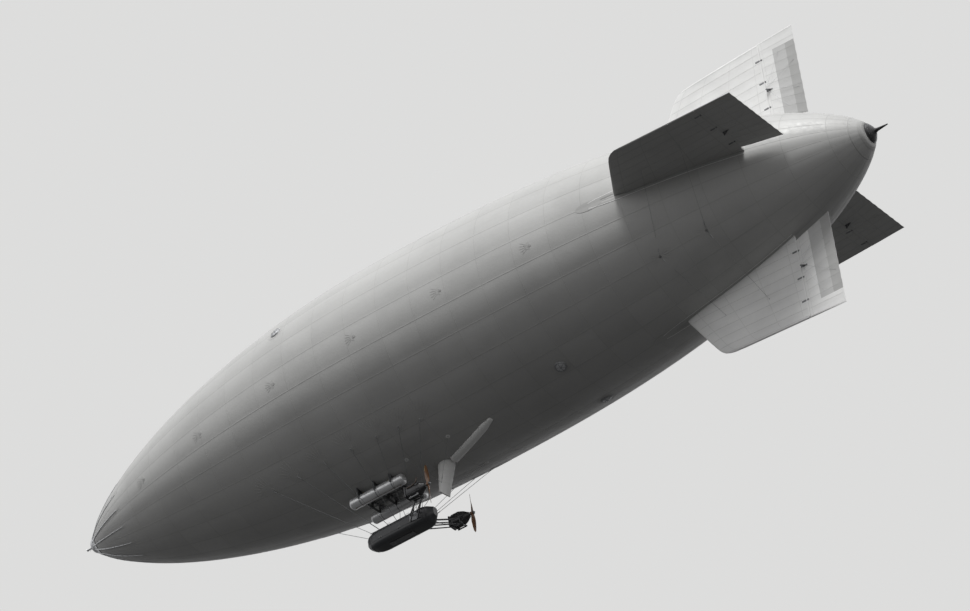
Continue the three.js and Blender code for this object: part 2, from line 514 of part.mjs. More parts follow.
// air sleeve of fabric that runs on from the scoop up the port side of the belly
{
  const rows = [];
  for (let i = 0; i <= 8; i++) {
    const t = i / 8, s = 13460 + 1980 * t, a = THREE.MathUtils.degToRad(1.0 + 12.4 * t);
    const w = 160 - 25 * t - 60 * Math.max(0, t - 0.8) / 0.2, h = 105 - 15 * t - 40 * Math.max(0, t - 0.8) / 0.2;
    const r = hullRadius(s) - 6, out = V(0, Math.sin(a), -Math.cos(a)), side = V(0, Math.cos(a), Math.sin(a));
    const along = V(-1, 0.24, 0).normalize(), across = side.clone().addScaledVector(along, -side.dot(along)).normalize();
    const c = V(X(s), 0, 0).addScaledVector(out, r);
    rows.push([...Array(14).keys()].map((k) => {
      const q = k / 14 * 2 * Math.PI;
      return c.clone().addScaledVector(across, w * Math.cos(q)).addScaledVector(out, h * Math.sin(q));
    }));
  }
  piece('belly_duct', loft(rows).subtract(hullCutter), M.fabric);
}

// ---------------------------------------------------------------- main stays of the car
{
  // columns: station at the car, station at the hull, angle of the hull patch from the keel line
  const STAYS = [[10370, 7800, 34], [10660, 8900, 36], [10990, 10000, 37], [11315, 11100, 37], [11645, 12100, 37], [11970, 12950, 36], [12280, 13700, 34]];
  for (const [side, k] of [['port', 1], ['starboard', -1]]) {
    const y = CAR_SIDE + 16, z = CAR_DECK_AT - 51;
    const rail = bar(V(X(10330), k * y, z), V(X(12080), k * y, z), 9, 9, 8);
    const rail2 = bar(V(X(12070), k * y, z), V(X(12300), k * y, z), 9, 9, 8);
    const stays = STAYS.map(([s0, s1, deg]) => {
      const r = hullRadius(s1) - 40, a = deg * Math.PI / 180;
      return bar(V(X(s0), k * y, z), V(X(s1), k * r * Math.sin(a), -r * Math.cos(a)), 7, 7, 6);
    });
    piece(`${side}_stays`, joined([rail, rail2, ...stays]).subtract(hullBody(GAP)), M.steel);
  }
}

// ---------------------------------------------------------------- valves on the envelope
// columns: name, station, angle from the top towards port, radius, height
const VALVES = [
  ['gas_valve', 9700, 62, 190, 60],
  ['port_air_valve', 18300, 160, 200, 70],
  ['starboard_air_valve', 18300, 200, 200, 70],
];
for (const [name, s, deg, r, h] of VALVES) {
  const a = deg * Math.PI / 180, R = hullRadius(s), slope = Math.atan2(hullRadius(s + 50) - hullRadius(s - 50), 100);
  const n = V(Math.sin(slope), Math.cos(slope) * Math.sin(a), Math.cos(slope) * Math.cos(a));
  const base = V(X(s), R * Math.sin(a), R * Math.cos(a));
  const p = (t) => base.clone().addScaledVector(n, t);
  piece(name, joined([bar(p(-60), p(h * 0.45), r, r, 14), bar(p(h * 0.4), p(h), r * 0.72, r * 0.62, 14)]).subtract(hullCutter), M.alloy);
}

export default group;
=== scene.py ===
import math
import bpy, bmesh
import numpy as np
from mathutils import Vector, Matrix


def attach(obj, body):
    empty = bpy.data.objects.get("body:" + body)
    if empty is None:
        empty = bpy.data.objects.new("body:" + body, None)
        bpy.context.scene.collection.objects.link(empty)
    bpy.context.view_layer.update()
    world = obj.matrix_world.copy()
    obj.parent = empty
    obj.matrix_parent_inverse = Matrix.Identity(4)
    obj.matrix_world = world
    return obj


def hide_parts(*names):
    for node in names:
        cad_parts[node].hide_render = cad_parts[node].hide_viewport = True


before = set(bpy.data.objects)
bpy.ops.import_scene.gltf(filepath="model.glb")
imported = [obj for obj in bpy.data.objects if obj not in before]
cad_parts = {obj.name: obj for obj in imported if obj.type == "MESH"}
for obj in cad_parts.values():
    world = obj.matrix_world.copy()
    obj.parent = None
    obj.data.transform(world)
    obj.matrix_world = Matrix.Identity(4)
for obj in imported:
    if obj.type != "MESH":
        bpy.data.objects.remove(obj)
scene = bpy.context.scene
pi = math.pi
rnd = np.random.default_rng(7)

# ------------------------------------------------------------------ sizes, in metres, as in the CAD
L, R = 29.850, 3.600
XN = 0.46 * L
FAT, END = 0.45, 0.985
HINGE, TE = 26.170, 27.380
# the car is drawn at its first size, then scaled to its place
CAR_BOW, CAR_STERN, DECK, KEEL, CAR_HALF = 9.520, 12.560, -5.140, -5.760, 0.375
CAR_K, CAR_BOW_AT, CAR_DECK_AT = 0.82, 10.020, -4.800
CAR_SIDE = CAR_HALF * CAR_K
ENG_OUT, ENG_Z = 1.120, -4.800
PROP_AT, PROP_R = 13.100, 0.690
TANK_OUT, TANK_Z, TANK_R = 0.545, -3.730, 0.175


def X(s):
    return XN - s


def hull_r(s):
    t = np.asarray(s, float) / L
    u = np.clip(1 - t / FAT, 0, 1)
    v = np.clip((t - FAT) / (END - FAT), 0, 1)
    return np.where(t < FAT, R * np.maximum(1 - u ** 2.0, 0) ** 0.70, R * np.maximum(1 - v ** 2.5, 0) ** 0.66)


def station_at(radius, thin, fat):
    for _ in range(60):
        m = (thin + fat) / 2
        thin, fat = (m, fat) if hull_r(m) < radius else (thin, m)
    return (thin + fat) / 2


NOSE_OPEN, TAIL_OPEN = station_at(0.300, 0.0, 5.0), station_at(0.330, L * END, 25.0)


def hull_slope(s):
    e = 0.004
    return (hull_r(np.asarray(s) + e) - hull_r(np.asarray(s) - e)) / (2 * e)


def hull_pt(s, a, off=0.0):
    """Point on the smooth hull: station s, angle a from the top towards port, off metres proud."""
    s, a, off = np.broadcast_arrays(np.asarray(s, float), np.asarray(a, float), np.asarray(off, float))
    r, sl = hull_r(s), hull_slope(s)
    k = 1 / np.sqrt(1 + sl * sl)
    rr = r + off * k
    return np.stack([X(s) + off * sl * k, rr * np.sin(a), rr * np.cos(a)], -1)


GORES, SEAM_DIP = 24, 0.010


def skin_off(s, a):
    """How far the fabric lies inside the smooth hull: it dips towards each seam between two gores."""
    g = (np.asarray(a, float) / (2 * pi / GORES)) % 1.0
    return -SEAM_DIP * (2 * g - 1) ** 2 * hull_r(s) / R


def hull_n(s, a):
    sl = float(hull_slope(s))
    return Vector((sl, math.sin(a), math.cos(a))).normalized()


# ------------------------------------------------------------------ camera
RIGHT = Vector((-0.80066, -0.58507, -0.13030))
UP = Vector((-0.42899, 0.40755, 0.80635))
BACK = Vector((-0.4185, 0.7013, -0.5771))
DIST = 200.0
PX = 0.21684                       # metres of the object across one pixel of the small airship in the photograph
ZOOM = 7.2                         # how much larger it is drawn here
mid = Vector((XN, 0, 0)) + RIGHT * (56.0 * PX) + UP * (34.6 * PX)
mid += BACK * 6.3
cam_data = bpy.data.cameras.new("camera")
cam = bpy.data.objects.new("camera", cam_data)
scene.collection.objects.link(cam)
cam.rotation_mode = "QUATERNION"
cm = Matrix((RIGHT, UP, BACK)).transposed().to_4x4()
cm.translation = mid + BACK * DIST
cam.matrix_world = cm
cam_data.sensor_width = 36
cam_data.lens = 36 * DIST / (970 * PX / ZOOM)
cam_data.clip_start, cam_data.clip_end = 1, 30000
scene.camera = cam
FLOOR_Z = cm.translation.z - 0.8

# ------------------------------------------------------------------ light and floor
scene.view_settings.view_transform = "Standard"
scene.view_settings.look = "None"
scene.view_settings.exposure = 0.0
scene.view_settings.gamma = 1.0

world = bpy.data.worlds.new("world")
scene.world = world
world.use_nodes = True
wn, wl = world.node_tree.nodes, world.node_tree.links
wn.clear()


def wnode(kind, **kw):
    n = wn.new(kind)
    for k, v in kw.items():
        setattr(n, k, v)
    return n


w_out = wnode("ShaderNodeOutputWorld")
w_mix = wnode("ShaderNodeMixShader")
w_path = wnode("ShaderNodeLightPath")
w_seen = wnode("ShaderNodeBackground")
w_lit = wnode("ShaderNodeBackground")
w_tc = wnode("ShaderNodeTexCoord")
w_sep = wnode("ShaderNodeSeparateXYZ")
w_ramp = wnode("ShaderNodeValToRGB")
w_map = wnode("ShaderNodeMapRange")
w_seen.inputs[0].default_value = (0.723, 0.723, 0.718, 1)
w_lit.inputs[1].default_value = 1.0
w_map.inputs["From Min"].default_value = -1
w_map.inputs["From Max"].default_value = 1
ramp = w_ramp.color_ramp
ramp.interpolation = "LINEAR"
SKY = [(-1.0, 0.082), (-0.06, 0.088), (0.0, 0.44), (0.12, 0.52), (0.4, 0.76), (1.0, 1.05)]
while len(ramp.elements) < len(SKY):
    ramp.elements.new(0.5)
for e, (z, v) in zip(ramp.elements, SKY):
    e.position = (z + 1) / 2
    e.color = (v * 0.5, v * 0.5, v * 0.505, 1)
w_lit.inputs[1].default_value = 2.0
wl.new(w_tc.outputs["Generated"], w_sep.inputs[0])
wl.new(w_sep.outputs["Z"], w_map.inputs["Value"])
wl.new(w_map.outputs[0], w_ramp.inputs[0])
wl.new(w_ramp.outputs[0], w_lit.inputs[0])
wl.new(w_path.outputs["Is Camera Ray"], w_mix.inputs[0])
wl.new(w_lit.outputs[0], w_mix.inputs[1])
wl.new(w_seen.outputs[0], w_mix.inputs[2])
wl.new(w_mix.outputs[0], w_out.inputs[0])


def sun(name, energy, direction, angle):
    d = bpy.data.lights.new(name, "SUN")
    d.energy = energy
    d.angle = angle
    o = bpy.data.objects.new(name, d)
    scene.collection.objects.link(o)
    o.rotation_mode = "QUATERNION"
    o.rotation_quaternion = Vector(direction).to_track_quat("Z", "Y")
    return o


sun("key", 2.35, (-0.20, 0.46, 0.87), 0.30)

fm = bpy.data.meshes.new("floor")
S = 12000
fm.from_pydata([(-S, -S, FLOOR_Z), (S, -S, FLOOR_Z), (S, S, FLOOR_Z), (-S, S, FLOOR_Z)], [], [(0, 1, 2, 3)])
floor = bpy.data.objects.new("floor", fm)
scene.collection.objects.link(floor)
floor.visible_diffuse = False
floor.visible_glossy = False


# ------------------------------------------------------------------ materials
def nodes_of(name):
    m = bpy.data.materials.new(name)
    m.use_nodes = True
    t = m.node_tree
    return m, t, t.nodes["Principled BSDF"]


class G:
    """A small helper that wires nodes."""

    def __init__(self, name):
        self.m, self.t, self.bsdf = nodes_of(name)

    def n(self, kind, **kw):
        x = self.t.nodes.new(kind)
        for k, v in kw.items():
            setattr(x, k, v)
        return x

    def link(self, a, b):
        self.t.links.new(a, b)

    def val(self, x, v):
        if isinstance(v, (int, float)):
            x.default_value = v
        elif isinstance(v, (tuple, list)):
            x.default_value = v
        else:
            self.link(v, x)

    def math(self, op, a, b=None, c=None, clamp=False):
        x = self.n("ShaderNodeMath", operation=op, use_clamp=clamp)
        self.val(x.inputs[0], a)
        if b is not None:
            self.val(x.inputs[1], b)
        if c is not None:
            self.val(x.inputs[2], c)
        return x.outputs[0]

    def coord(self, scale=None):
        tc = self.n("ShaderNodeTexCoord").outputs["Object"]
        if scale is None:
            return tc
        mp = self.n("ShaderNodeMapping")
        self.link(tc, mp.inputs[0])
        mp.inputs["Scale"].default_value = scale
        return mp.outputs[0]

    def noise(self, vec, scale, detail=3, rough=0.55, distort=0.0):
        x = self.n("ShaderNodeTexNoise")
        self.link(vec, x.inputs["Vector"])
        x.inputs["Scale"].default_value = scale
        x.inputs["Detail"].default_value = detail
        x.inputs["Roughness"].default_value = rough
        x.inputs["Distortion"].default_value = distort
        return x.outputs["Fac"]

    def ramp(self, fac, stops):
        x = self.n("ShaderNodeValToRGB")
        self.link(fac, x.inputs[0])
        r = x.color_ramp
        while len(r.elements) < len(stops):
            r.elements.new(0.5)
        for e, (p, c) in zip(r.elements, stops):
            e.position = p
            e.color = (*c, 1) if len(c) == 3 else c
        return x.outputs[0]

    def mixc(self, fac, a, b, mode="MIX"):
        x = self.n("ShaderNodeMix", data_type="RGBA", blend_type=mode)
        self.val(x.inputs[0], fac)
        self.val(x.inputs[6], (*a, 1) if isinstance(a, tuple) and len(a) == 3 else a)
        self.val(x.inputs[7], (*b, 1) if isinstance(b, tuple) and len(b) == 3 else b)
        return x.outputs[2]

    def rng(self, v, a, b, c, d):
        x = self.n("ShaderNodeMapRange")
        self.link(v, x.inputs["Value"])
        for k, q in zip(("From Min", "From Max", "To Min", "To Max"), (a, b, c, d)):
            x.inputs[k].default_value = q
        return x.outputs[0]

    def bump(self, height, strength, dist, normal=None):
        x = self.n("ShaderNodeBump")
        x.inputs["Strength"].default_value = strength
        x.inputs["Distance"].default_value = dist
        self.link(height, x.inputs["Height"])
        if normal is not None:
            self.link(normal, x.inputs["Normal"])
        return x.outputs[0]

    def set(self, **kw):
        for k, v in kw.items():
            self.val(self.bsdf.inputs[k.replace("_", " ")], v)

    def color(self, c):
        self.val(self.bsdf.inputs["Base Color"], (*c, 1) if isinstance(c, tuple) else c)

    def done(self, normal=None):
        if normal is not None:
            self.link(normal, self.bsdf.inputs["Normal"])
        return self.m


def fabric_material(name, base, panels=True, ribs=0.0, rough=0.55, metal=0.0, stain=0.06):
    g = G(name)
    oc = g.coord()
    sep = g.n("ShaderNodeSeparateXYZ")
    g.link(oc, sep.inputs[0])
    x, y, z = sep.outputs
    col = tuple(base)
    n1 = g.noise(oc, 0.35, 4, 0.6)
    n2 = g.noise(g.coord((0.25, 1.6, 1.6)), 1.1, 5, 0.6)
    n3 = g.noise(oc, 9.0, 4, 0.6)
    dk = tuple(c * (1 - 2.2 * stain) for c in base)
    lt = tuple(min(c * (1 + 0.8 * stain), 1) for c in base)
    c = g.ramp(n1, [(0.3, dk), (0.5, col), (0.72, lt)])
    c = g.mixc(g.rng(n2, 0.50, 0.78, 0, 0.35), c, tuple(v * 0.78 for v in base))
    c = g.mixc(g.rng(n3, 0.35, 0.75, 0, 0.10), c, tuple(v * 0.80 for v in base))
    if panels:
        ang = g.math("ARCTAN2", y, z)
        gore = g.math("FLOOR", g.math("DIVIDE", ang, 2 * pi / 24))
        row = g.math("FLOOR", g.math("DIVIDE", x, 1.22))
        comb = g.n("ShaderNodeCombineXYZ")
        g.link(gore, comb.inputs[0])
        g.link(row, comb.inputs[1])
        wnz = g.n("ShaderNodeTexWhiteNoise", noise_dimensions="3D")
        g.link(comb.outputs[0], wnz.inputs["Vector"])
        c = g.mixc(g.rng(wnz.outputs["Value"], 0, 1, 0, 0.16), c, tuple(v * 0.70 for v in base))
    g.color(c)
    weave = g.n("ShaderNodeTexWave", wave_type="BANDS", bands_direction="X")
    g.link(oc, weave.inputs["Vector"])
    weave.inputs["Scale"].default_value = 90
    weave2 = g.n("ShaderNodeTexWave", wave_type="BANDS", bands_direction="DIAGONAL")
    g.link(oc, weave2.inputs["Vector"])
    weave2.inputs["Scale"].default_value = 90
    h = g.math("MULTIPLY", weave.outputs["Fac"], weave2.outputs["Fac"])
    nb = g.bump(h, 0.06, 0.0006)
    nb = g.bump(g.noise(oc, 2.4, 3, 0.5), 0.25, 0.012, nb)
    g.set(Roughness=g.rng(n3, 0.3, 0.8, rough - 0.07, rough + 0.12))
    g.bsdf.inputs["Metallic"].default_value = metal
    g.bsdf.inputs["Specular IOR Level"].default_value = 0.35
    g.bsdf.inputs["Sheen Weight"].default_value = 0.08
    return g.done(nb)


def painted(name, base, rough=0.4, worn=(0.25, 0.25, 0.25), wear=0.25, spec=0.5, coat=0.0):
    g = G(name)
    oc = g.coord()
    n1 = g.noise(oc, 3.0, 5, 0.6)
    n2 = g.noise(oc, 28.0, 5, 0.62)
    n3 = g.noise(g.coord((1.2, 1.2, 7.0)), 6.0, 4, 0.6)
    c = g.ramp(n1, [(0.32, tuple(v * 0.78 for v in base)), (0.55, tuple(base)), (0.8, tuple(v * 1.25 for v in base))])
    c = g.mixc(g.rng(n3, 0.55, 0.85, 0, 0.25), c, tuple(v * 0.5 + 0.02 for v in base))
    geo = g.n("ShaderNodeNewGeometry")
    edge = g.rng(geo.outputs["Pointiness"], 0.53, 0.62, 0, 1)
    w = g.math("MULTIPLY", edge, g.rng(n2, 0.45, 0.65, 0, wear), clamp=True)
    c = g.mixc(w, c, worn)
    g.color(c)
    g.set(Roughness=g.rng(n2, 0.25, 0.8, rough - 0.08, rough + 0.15))
    g.bsdf.inputs["Specular IOR Level"].default_value = spec
    if coat:
        g.bsdf.inputs["Coat Weight"].default_value = coat
        g.bsdf.inputs["Coat Roughness"].default_value = 0.18
    return g.done(g.bump(n2, 0.12, 0.0012))


def metal(name, base, rough=0.35, brushed=(1, 1, 1), stain=0.2, metallic=1.0, bump=0.1):
    g = G(name)
    oc = g.coord()
    n1 = g.noise(oc, 5.0, 5, 0.6)
    n2 = g.noise(g.coord(tuple(40 * v for v in brushed)), 4.0, 3, 0.6)
    c = g.ramp(n1, [(0.3, tuple(v * (1 - stain) for v in base)), (0.6, tuple(base)), (0.85, tuple(min(v * (1 + stain * 0.5), 1) for v in base))])
    g.color(c)
    g.set(Roughness=g.rng(n2, 0.25, 0.75, rough - 0.08, rough + 0.12))
    g.bsdf.inputs["Metallic"].default_value = metallic
    return g.done(g.bump(n2, bump, 0.0006))


def wood_material(name, light, dark_, grain_axis="Z", lam=0.0, coat=0.6):
    g = G(name)
    sc = {"X": (1.2, 16, 16), "Y": (16, 1.2, 16), "Z": (16, 16, 1.2)}[grain_axis]
    n = g.noise(g.coord(sc), 3.0, 8, 0.62, 0.6)
    c = g.ramp(n, [(0.3, dark_), (0.52, light), (0.75, tuple(v * 1.15 for v in light))])
    if lam:
        oc = g.coord()
        w = g.n("ShaderNodeTexWave", wave_type="BANDS", bands_direction="X", wave_profile="SIN")
        g.link(oc, w.inputs["Vector"])
        w.inputs["Scale"].default_value = lam
        w.inputs["Distortion"].default_value = 0.3
        c = g.mixc(g.rng(w.outputs["Fac"], 0.5, 0.62, 0, 0.55), c, dark_)
    g.color(c)
    g.set(Roughness=g.rng(n, 0.3, 0.8, 0.32, 0.48))
    g.bsdf.inputs["Coat Weight"].default_value = coat
    g.bsdf.inputs["Coat Roughness"].default_value = 0.12
    return g.done(g.bump(n, 0.1, 0.0008))


def leather_material(name, base):
    g = G(name)
    oc = g.coord()
    v = g.n("ShaderNodeTexVoronoi", feature="DISTANCE_TO_EDGE")
    g.link(oc, v.inputs["Vector"])
    v.inputs["Scale"].default_value = 150
    n = g.noise(oc, 9, 5, 0.6)
    c = g.ramp(n, [(0.3, tuple(q * 0.6 for q in base)), (0.55, tuple(base)), (0.8, tuple(q * 1.5 for q in base))])
    g.color(c)
    g.set(Roughness=g.rng(n, 0.3, 0.8, 0.42, 0.66))
    g.bsdf.inputs["Specular IOR Level"].default_value = 0.4
    b = g.bump(g.rng(v.outputs["Distance"], 0, 0.12, 0, 1), 0.25, 0.0007)
    return g.done(g.bump(n, 0.2, 0.003, b))


M = {}
M["hull"] = fabric_material("envelope_dope", (0.49, 0.49, 0.478), panels=True, metal=0.12, rough=0.52, stain=0.05)
M["tape"] = fabric_material("seam_tape", (0.435, 0.435, 0.424), panels=False, metal=0.1, rough=0.58, stain=0.06)
M["patch"] = fabric_material("reinforcing_patch", (0.455, 0.455, 0.443), panels=False, rough=0.62, stain=0.08)
# The fin fabric comes in two tones. The light one, on the upright fins and rudders, stands in for light falling on
# them. The dark one, on the flat fins and elevators, is painted shade for their undersides. The rib tapes are split the
# same way.
M["fin"] = fabric_material("fin_dope", (0.88, 0.88, 0.865), panels=False, rough=0.5, stain=0.05)
M["fin_flat"] = fabric_material("fin_dope_painted_shade", (0.47, 0.47, 0.458), panels=False, rough=0.52, stain=0.05)
M["fin_grey"] = fabric_material("fin_dope_grey", (0.60, 0.60, 0.59), panels=False, rough=0.52, stain=0.06)
M["fin_dark"] = fabric_material("fin_dope_dark", (0.47, 0.47, 0.46), panels=False, rough=0.52, stain=0.06)
M["rib"] = fabric_material("rib_tape", (0.80, 0.80, 0.785), panels=False, rough=0.6, stain=0.06)
M["rib_flat"] = fabric_material("rib_tape_painted_shade", (0.42, 0.42, 0.41), panels=False, rough=0.6, stain=0.06)
M["dark"] = painted("car_enamel", (0.044, 0.046, 0.050), rough=0.36, coat=0.25)
M["dark_in"] = painted("car_inside", (0.10, 0.095, 0.085), rough=0.62, wear=0.1)
M["black"] = painted("engine_enamel", (0.034, 0.034, 0.036), rough=0.34, coat=0.2)
M["duct"] = fabric_material("duct_fabric", (0.93, 0.93, 0.91), panels=False, rough=0.55, stain=0.05)
M["steel"] = metal("steel_tube", (0.24, 0.245, 0.25), rough=0.42, stain=0.3)
M["bright"] = metal("bright_steel", (0.55, 0.56, 0.57), rough=0.28, stain=0.15)
M["wire"] = metal("steel_wire", (0.34, 0.345, 0.35), rough=0.4, stain=0.2)
M["alloy"] = metal("alloy_sheet", (0.66, 0.67, 0.68), rough=0.36, brushed=(0.3, 1, 1), stain=0.16, metallic=0.55)
M["tank"] = metal("tank_aluminium", (0.92, 0.925, 0.93), rough=0.36, brushed=(0.3, 1, 1), stain=0.04, metallic=0.72, bump=0.008)
M["alloy_dull"] = metal("alloy_dull", (0.42, 0.425, 0.43), rough=0.5, stain=0.22, metallic=0.5)
M["brass"] = metal("brass", (0.50, 0.38, 0.17), rough=0.34, stain=0.35)
M["copper"] = metal("radiator_metal", (0.16, 0.11, 0.06), rough=0.5, stain=0.4)
M["burnt"] = metal("burnt_pipe", (0.17, 0.14, 0.12), rough=0.6, stain=0.5, metallic=0.8)
M["wood"] = wood_material("ash_wood", (0.36, 0.21, 0.10), (0.16, 0.08, 0.035), "Y")
M["prop"] = wood_material("propeller_wood", (0.27, 0.13, 0.055), (0.10, 0.042, 0.018), "Z", lam=34.0, coat=0.8)
M["leather"] = leather_material("brown_hide", (0.20, 0.105, 0.058))
M["leather2"] = leather_material("rim_hide", (0.075, 0.045, 0.030))
M["white"] = painted("dial_white", (0.75, 0.74, 0.70), rough=0.4, wear=0.0)
M["dial"] = painted("dial_black", (0.02, 0.02, 0.02), rough=0.3, wear=0.0)
g = G("screen_glass")
g.color(g.ramp(g.noise(g.coord(), 6.0, 3), [(0.3, (0.90, 0.93, 0.92)), (0.7, (0.97, 0.98, 0.98))]))
g.bsdf.inputs["Roughness"].default_value = 0.04
g.bsdf.inputs["Transmission Weight"].default_value = 1.0
g.bsdf.inputs["IOR"].default_value = 1.45
M["glass"] = g.done()

gf = G("floor")
gf.color(gf.ramp(gf.noise(gf.coord(), 0.004, 2), [(0.3, (0.555, 0.555, 0.55)), (0.7, (0.575, 0.575, 0.57))]))
gf.bsdf.inputs["Roughness"].default_value = 0.95
gf.bsdf.inputs["Specular IOR Level"].default_value = 0.0
fm.materials.append(gf.done())


# ------------------------------------------------------------------ mesh helpers
PLACE = None                       # moves every finished piece of a section, where set


def place_car(V):
    V = np.array(V)
    V[:, 0] = X(CAR_BOW_AT) + CAR_K * (V[:, 0] - X(CAR_BOW))
    V[:, 1] *= CAR_K
    V[:, 2] = CAR_DECK_AT + CAR_K * (V[:, 2] - DECK)
    return V


class Bag:
    """Collects closed solids, each with a material, into one piece."""

    def __init__(self, *mats):
        self.mats = list(mats)
        self.v, self.f, self.mi, self.sm, self.k = [], [], [], [], 0

    def add(self, V, F, mat=0, smooth=True, matrix=None):
        V = np.asarray(V, float)
        if matrix is not None:
            mm = np.array(matrix)
            V = V @ mm[:3, :3].T + mm[:3, 3]
        self.v.append(V)
        k = self.k
        self.f.extend([tuple(i + k for i in f) for f in F])
        self.mi.extend([mat] * len(F))
        self.sm.extend([smooth] * len(F))
        self.k += len(V)
        return self

    def make(self, name, body="airship", slot=None, nodes=(), sharp=35):
        me = bpy.data.meshes.new(name)
        V = np.concatenate(self.v)
        if PLACE and body:
            V = PLACE(V)
        me.from_pydata(V.tolist(), [], self.f)
        for m in self.mats:
            me.materials.append(m)
        me.polygons.foreach_set("material_index", self.mi)
        me.polygons.foreach_set("use_smooth", self.sm)
        me.validate()
        if sharp:
            me.set_sharp_from_angle(angle=math.radians(sharp))
        me.update()
        o = bpy.data.objects.new(name, me)
        scene.collection.objects.link(o)
        if body:
            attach(o, body)
        if nodes:
            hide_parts(*nodes)
        return o


def ring_faces(nr, n, close=True, caps=True, wrap=False):
    """Faces for nr rings of n points. caps adds end polygons. wrap joins the last ring to the first."""
    F = []
    top = nr if wrap else nr - 1
    m = n if close else n - 1
    for i in range(top):
        a0, b0 = i * n, ((i + 1) % nr) * n
        for j in range(m):
            j2 = (j + 1) % n
            F.append((a0 + j, a0 + j2, b0 + j2, b0 + j))
    if caps and not wrap:
        F.append(tuple(reversed(range(n))))
        F.append(tuple(range((nr - 1) * n, nr * n)))
    return F


def loft(bag, rings, mat=0, smooth=True, caps=True, wrap=False, matrix=None, flip=False):
    rings = np.asarray(rings, float)
    nr, n = rings.shape[:2]
    F = ring_faces(nr, n, True, caps, wrap)
    V = rings.reshape(-1, 3)
    if signed(V, F) < 0:
        F = [tuple(reversed(f)) for f in F]
    return bag.add(V, F, mat, smooth, matrix)


def signed(V, F):
    V = np.asarray(V, float)
    c = V.mean(0)
    W = V - c
    q4 = np.array([f for f in F if len(f) == 4])
    q3 = [f for f in F if len(f) == 3]
    t = 0.0
    if len(q4):
        a, b, d, e = (W[q4[:, i]] for i in range(4))
        t += np.einsum("ij,ij->", a, np.cross(b, d)) + np.einsum("ij,ij->", a, np.cross(d, e))
    if q3:
        q3 = np.array(q3)
        a, b, d = (W[q3[:, i]] for i in range(3))
        t += np.einsum("ij,ij->", a, np.cross(b, d))
    for f in F:
        if len(f) > 4:
            a = W[f[0]]
            for i in range(1, len(f) - 1):
                t += np.dot(a, np.cross(W[f[i]], W[f[i + 1]]))
    return t


def frames(P, closed=False):
    """Parallel-transport frames along points P."""
    P = np.asarray(P, float)
    n = len(P)
    if closed:
        T = np.roll(P, -1, 0) - np.roll(P, 1, 0)
    else:
        T = np.gradient(P, axis=0)
    T /= np.linalg.norm(T, axis=1)[:, None] + 1e-12
    ref = np.array([0, 0, 1.0]) if abs(T[0][2]) < 0.9 else np.array([1.0, 0, 0])
    U = np.cross(T[0], ref)
    U /= np.linalg.norm(U)
    out = []
    for i in range(n):
        U = U - T[i] * np.dot(U, T[i])
        U /= np.linalg.norm(U) + 1e-12
        out.append((T[i], U, np.cross(T[i], U)))
    return out


def tube(bag, P, r, sides=12, mat=0, closed=False, smooth=True, matrix=None):
    P = np.asarray(P, float)
    r = np.broadcast_to(np.asarray(r, float), (len(P),))
    a = np.arange(sides) / sides * 2 * pi
    rings = []
    for i, (T, U, W) in enumerate(frames(P, closed)):
        rings.append(P[i] + r[i] * (np.cos(a)[:, None] * U + np.sin(a)[:, None] * W))
    return loft(bag, rings, mat, smooth, not closed, closed, matrix)


def rod(bag, a, b, r, r1=None, sides=12, mat=0, matrix=None):
    return tube(bag, [a, b], [r, r if r1 is None else r1], sides, mat, matrix=matrix)


def basis(axis):
    z = np.asarray(axis, float)
    z = z / np.linalg.norm(z)
    ref = np.array([0, 0, 1.0]) if abs(z[2]) < 0.9 else np.array([1.0, 0, 0])
    x = np.cross(ref, z)
    x /= np.linalg.norm(x)
    return x, np.cross(z, x), z


def lathe(bag, prof, origin=(0, 0, 0), axis=(1, 0, 0), n=48, mat=0, smooth=True, matrix=None, wrap=False):
    """prof: [distance along axis, radius]. Ends on the axis are closed by the cap polygon."""
    x, y, z = basis(axis)
    o = np.asarray(origin, float)
    a = np.arange(n) / n * 2 * pi
    rings = [o + z * t + max(r, 1e-5) * (np.cos(a)[:, None] * x + np.sin(a)[:, None] * y) for t, r in prof]
    return loft(bag, rings, mat, smooth, not wrap, wrap, matrix)


def torus(bag, c, axis, rad, r, n=32, m=10, mat=0, arc=None, matrix=None):
    x, y, z = basis(axis)
    c = np.asarray(c, float)
    if arc is None:
        a = np.arange(n) / n * 2 * pi
        P = c + rad * (np.cos(a)[:, None] * x + np.sin(a)[:, None] * y)
        return tube(bag, P, r, m, mat, True, matrix=matrix)
    a = np.linspace(arc[0], arc[1], n)
    P = c + rad * (np.cos(a)[:, None] * x + np.sin(a)[:, None] * y)
    return tube(bag, P, r, m, mat, False, matrix=matrix)


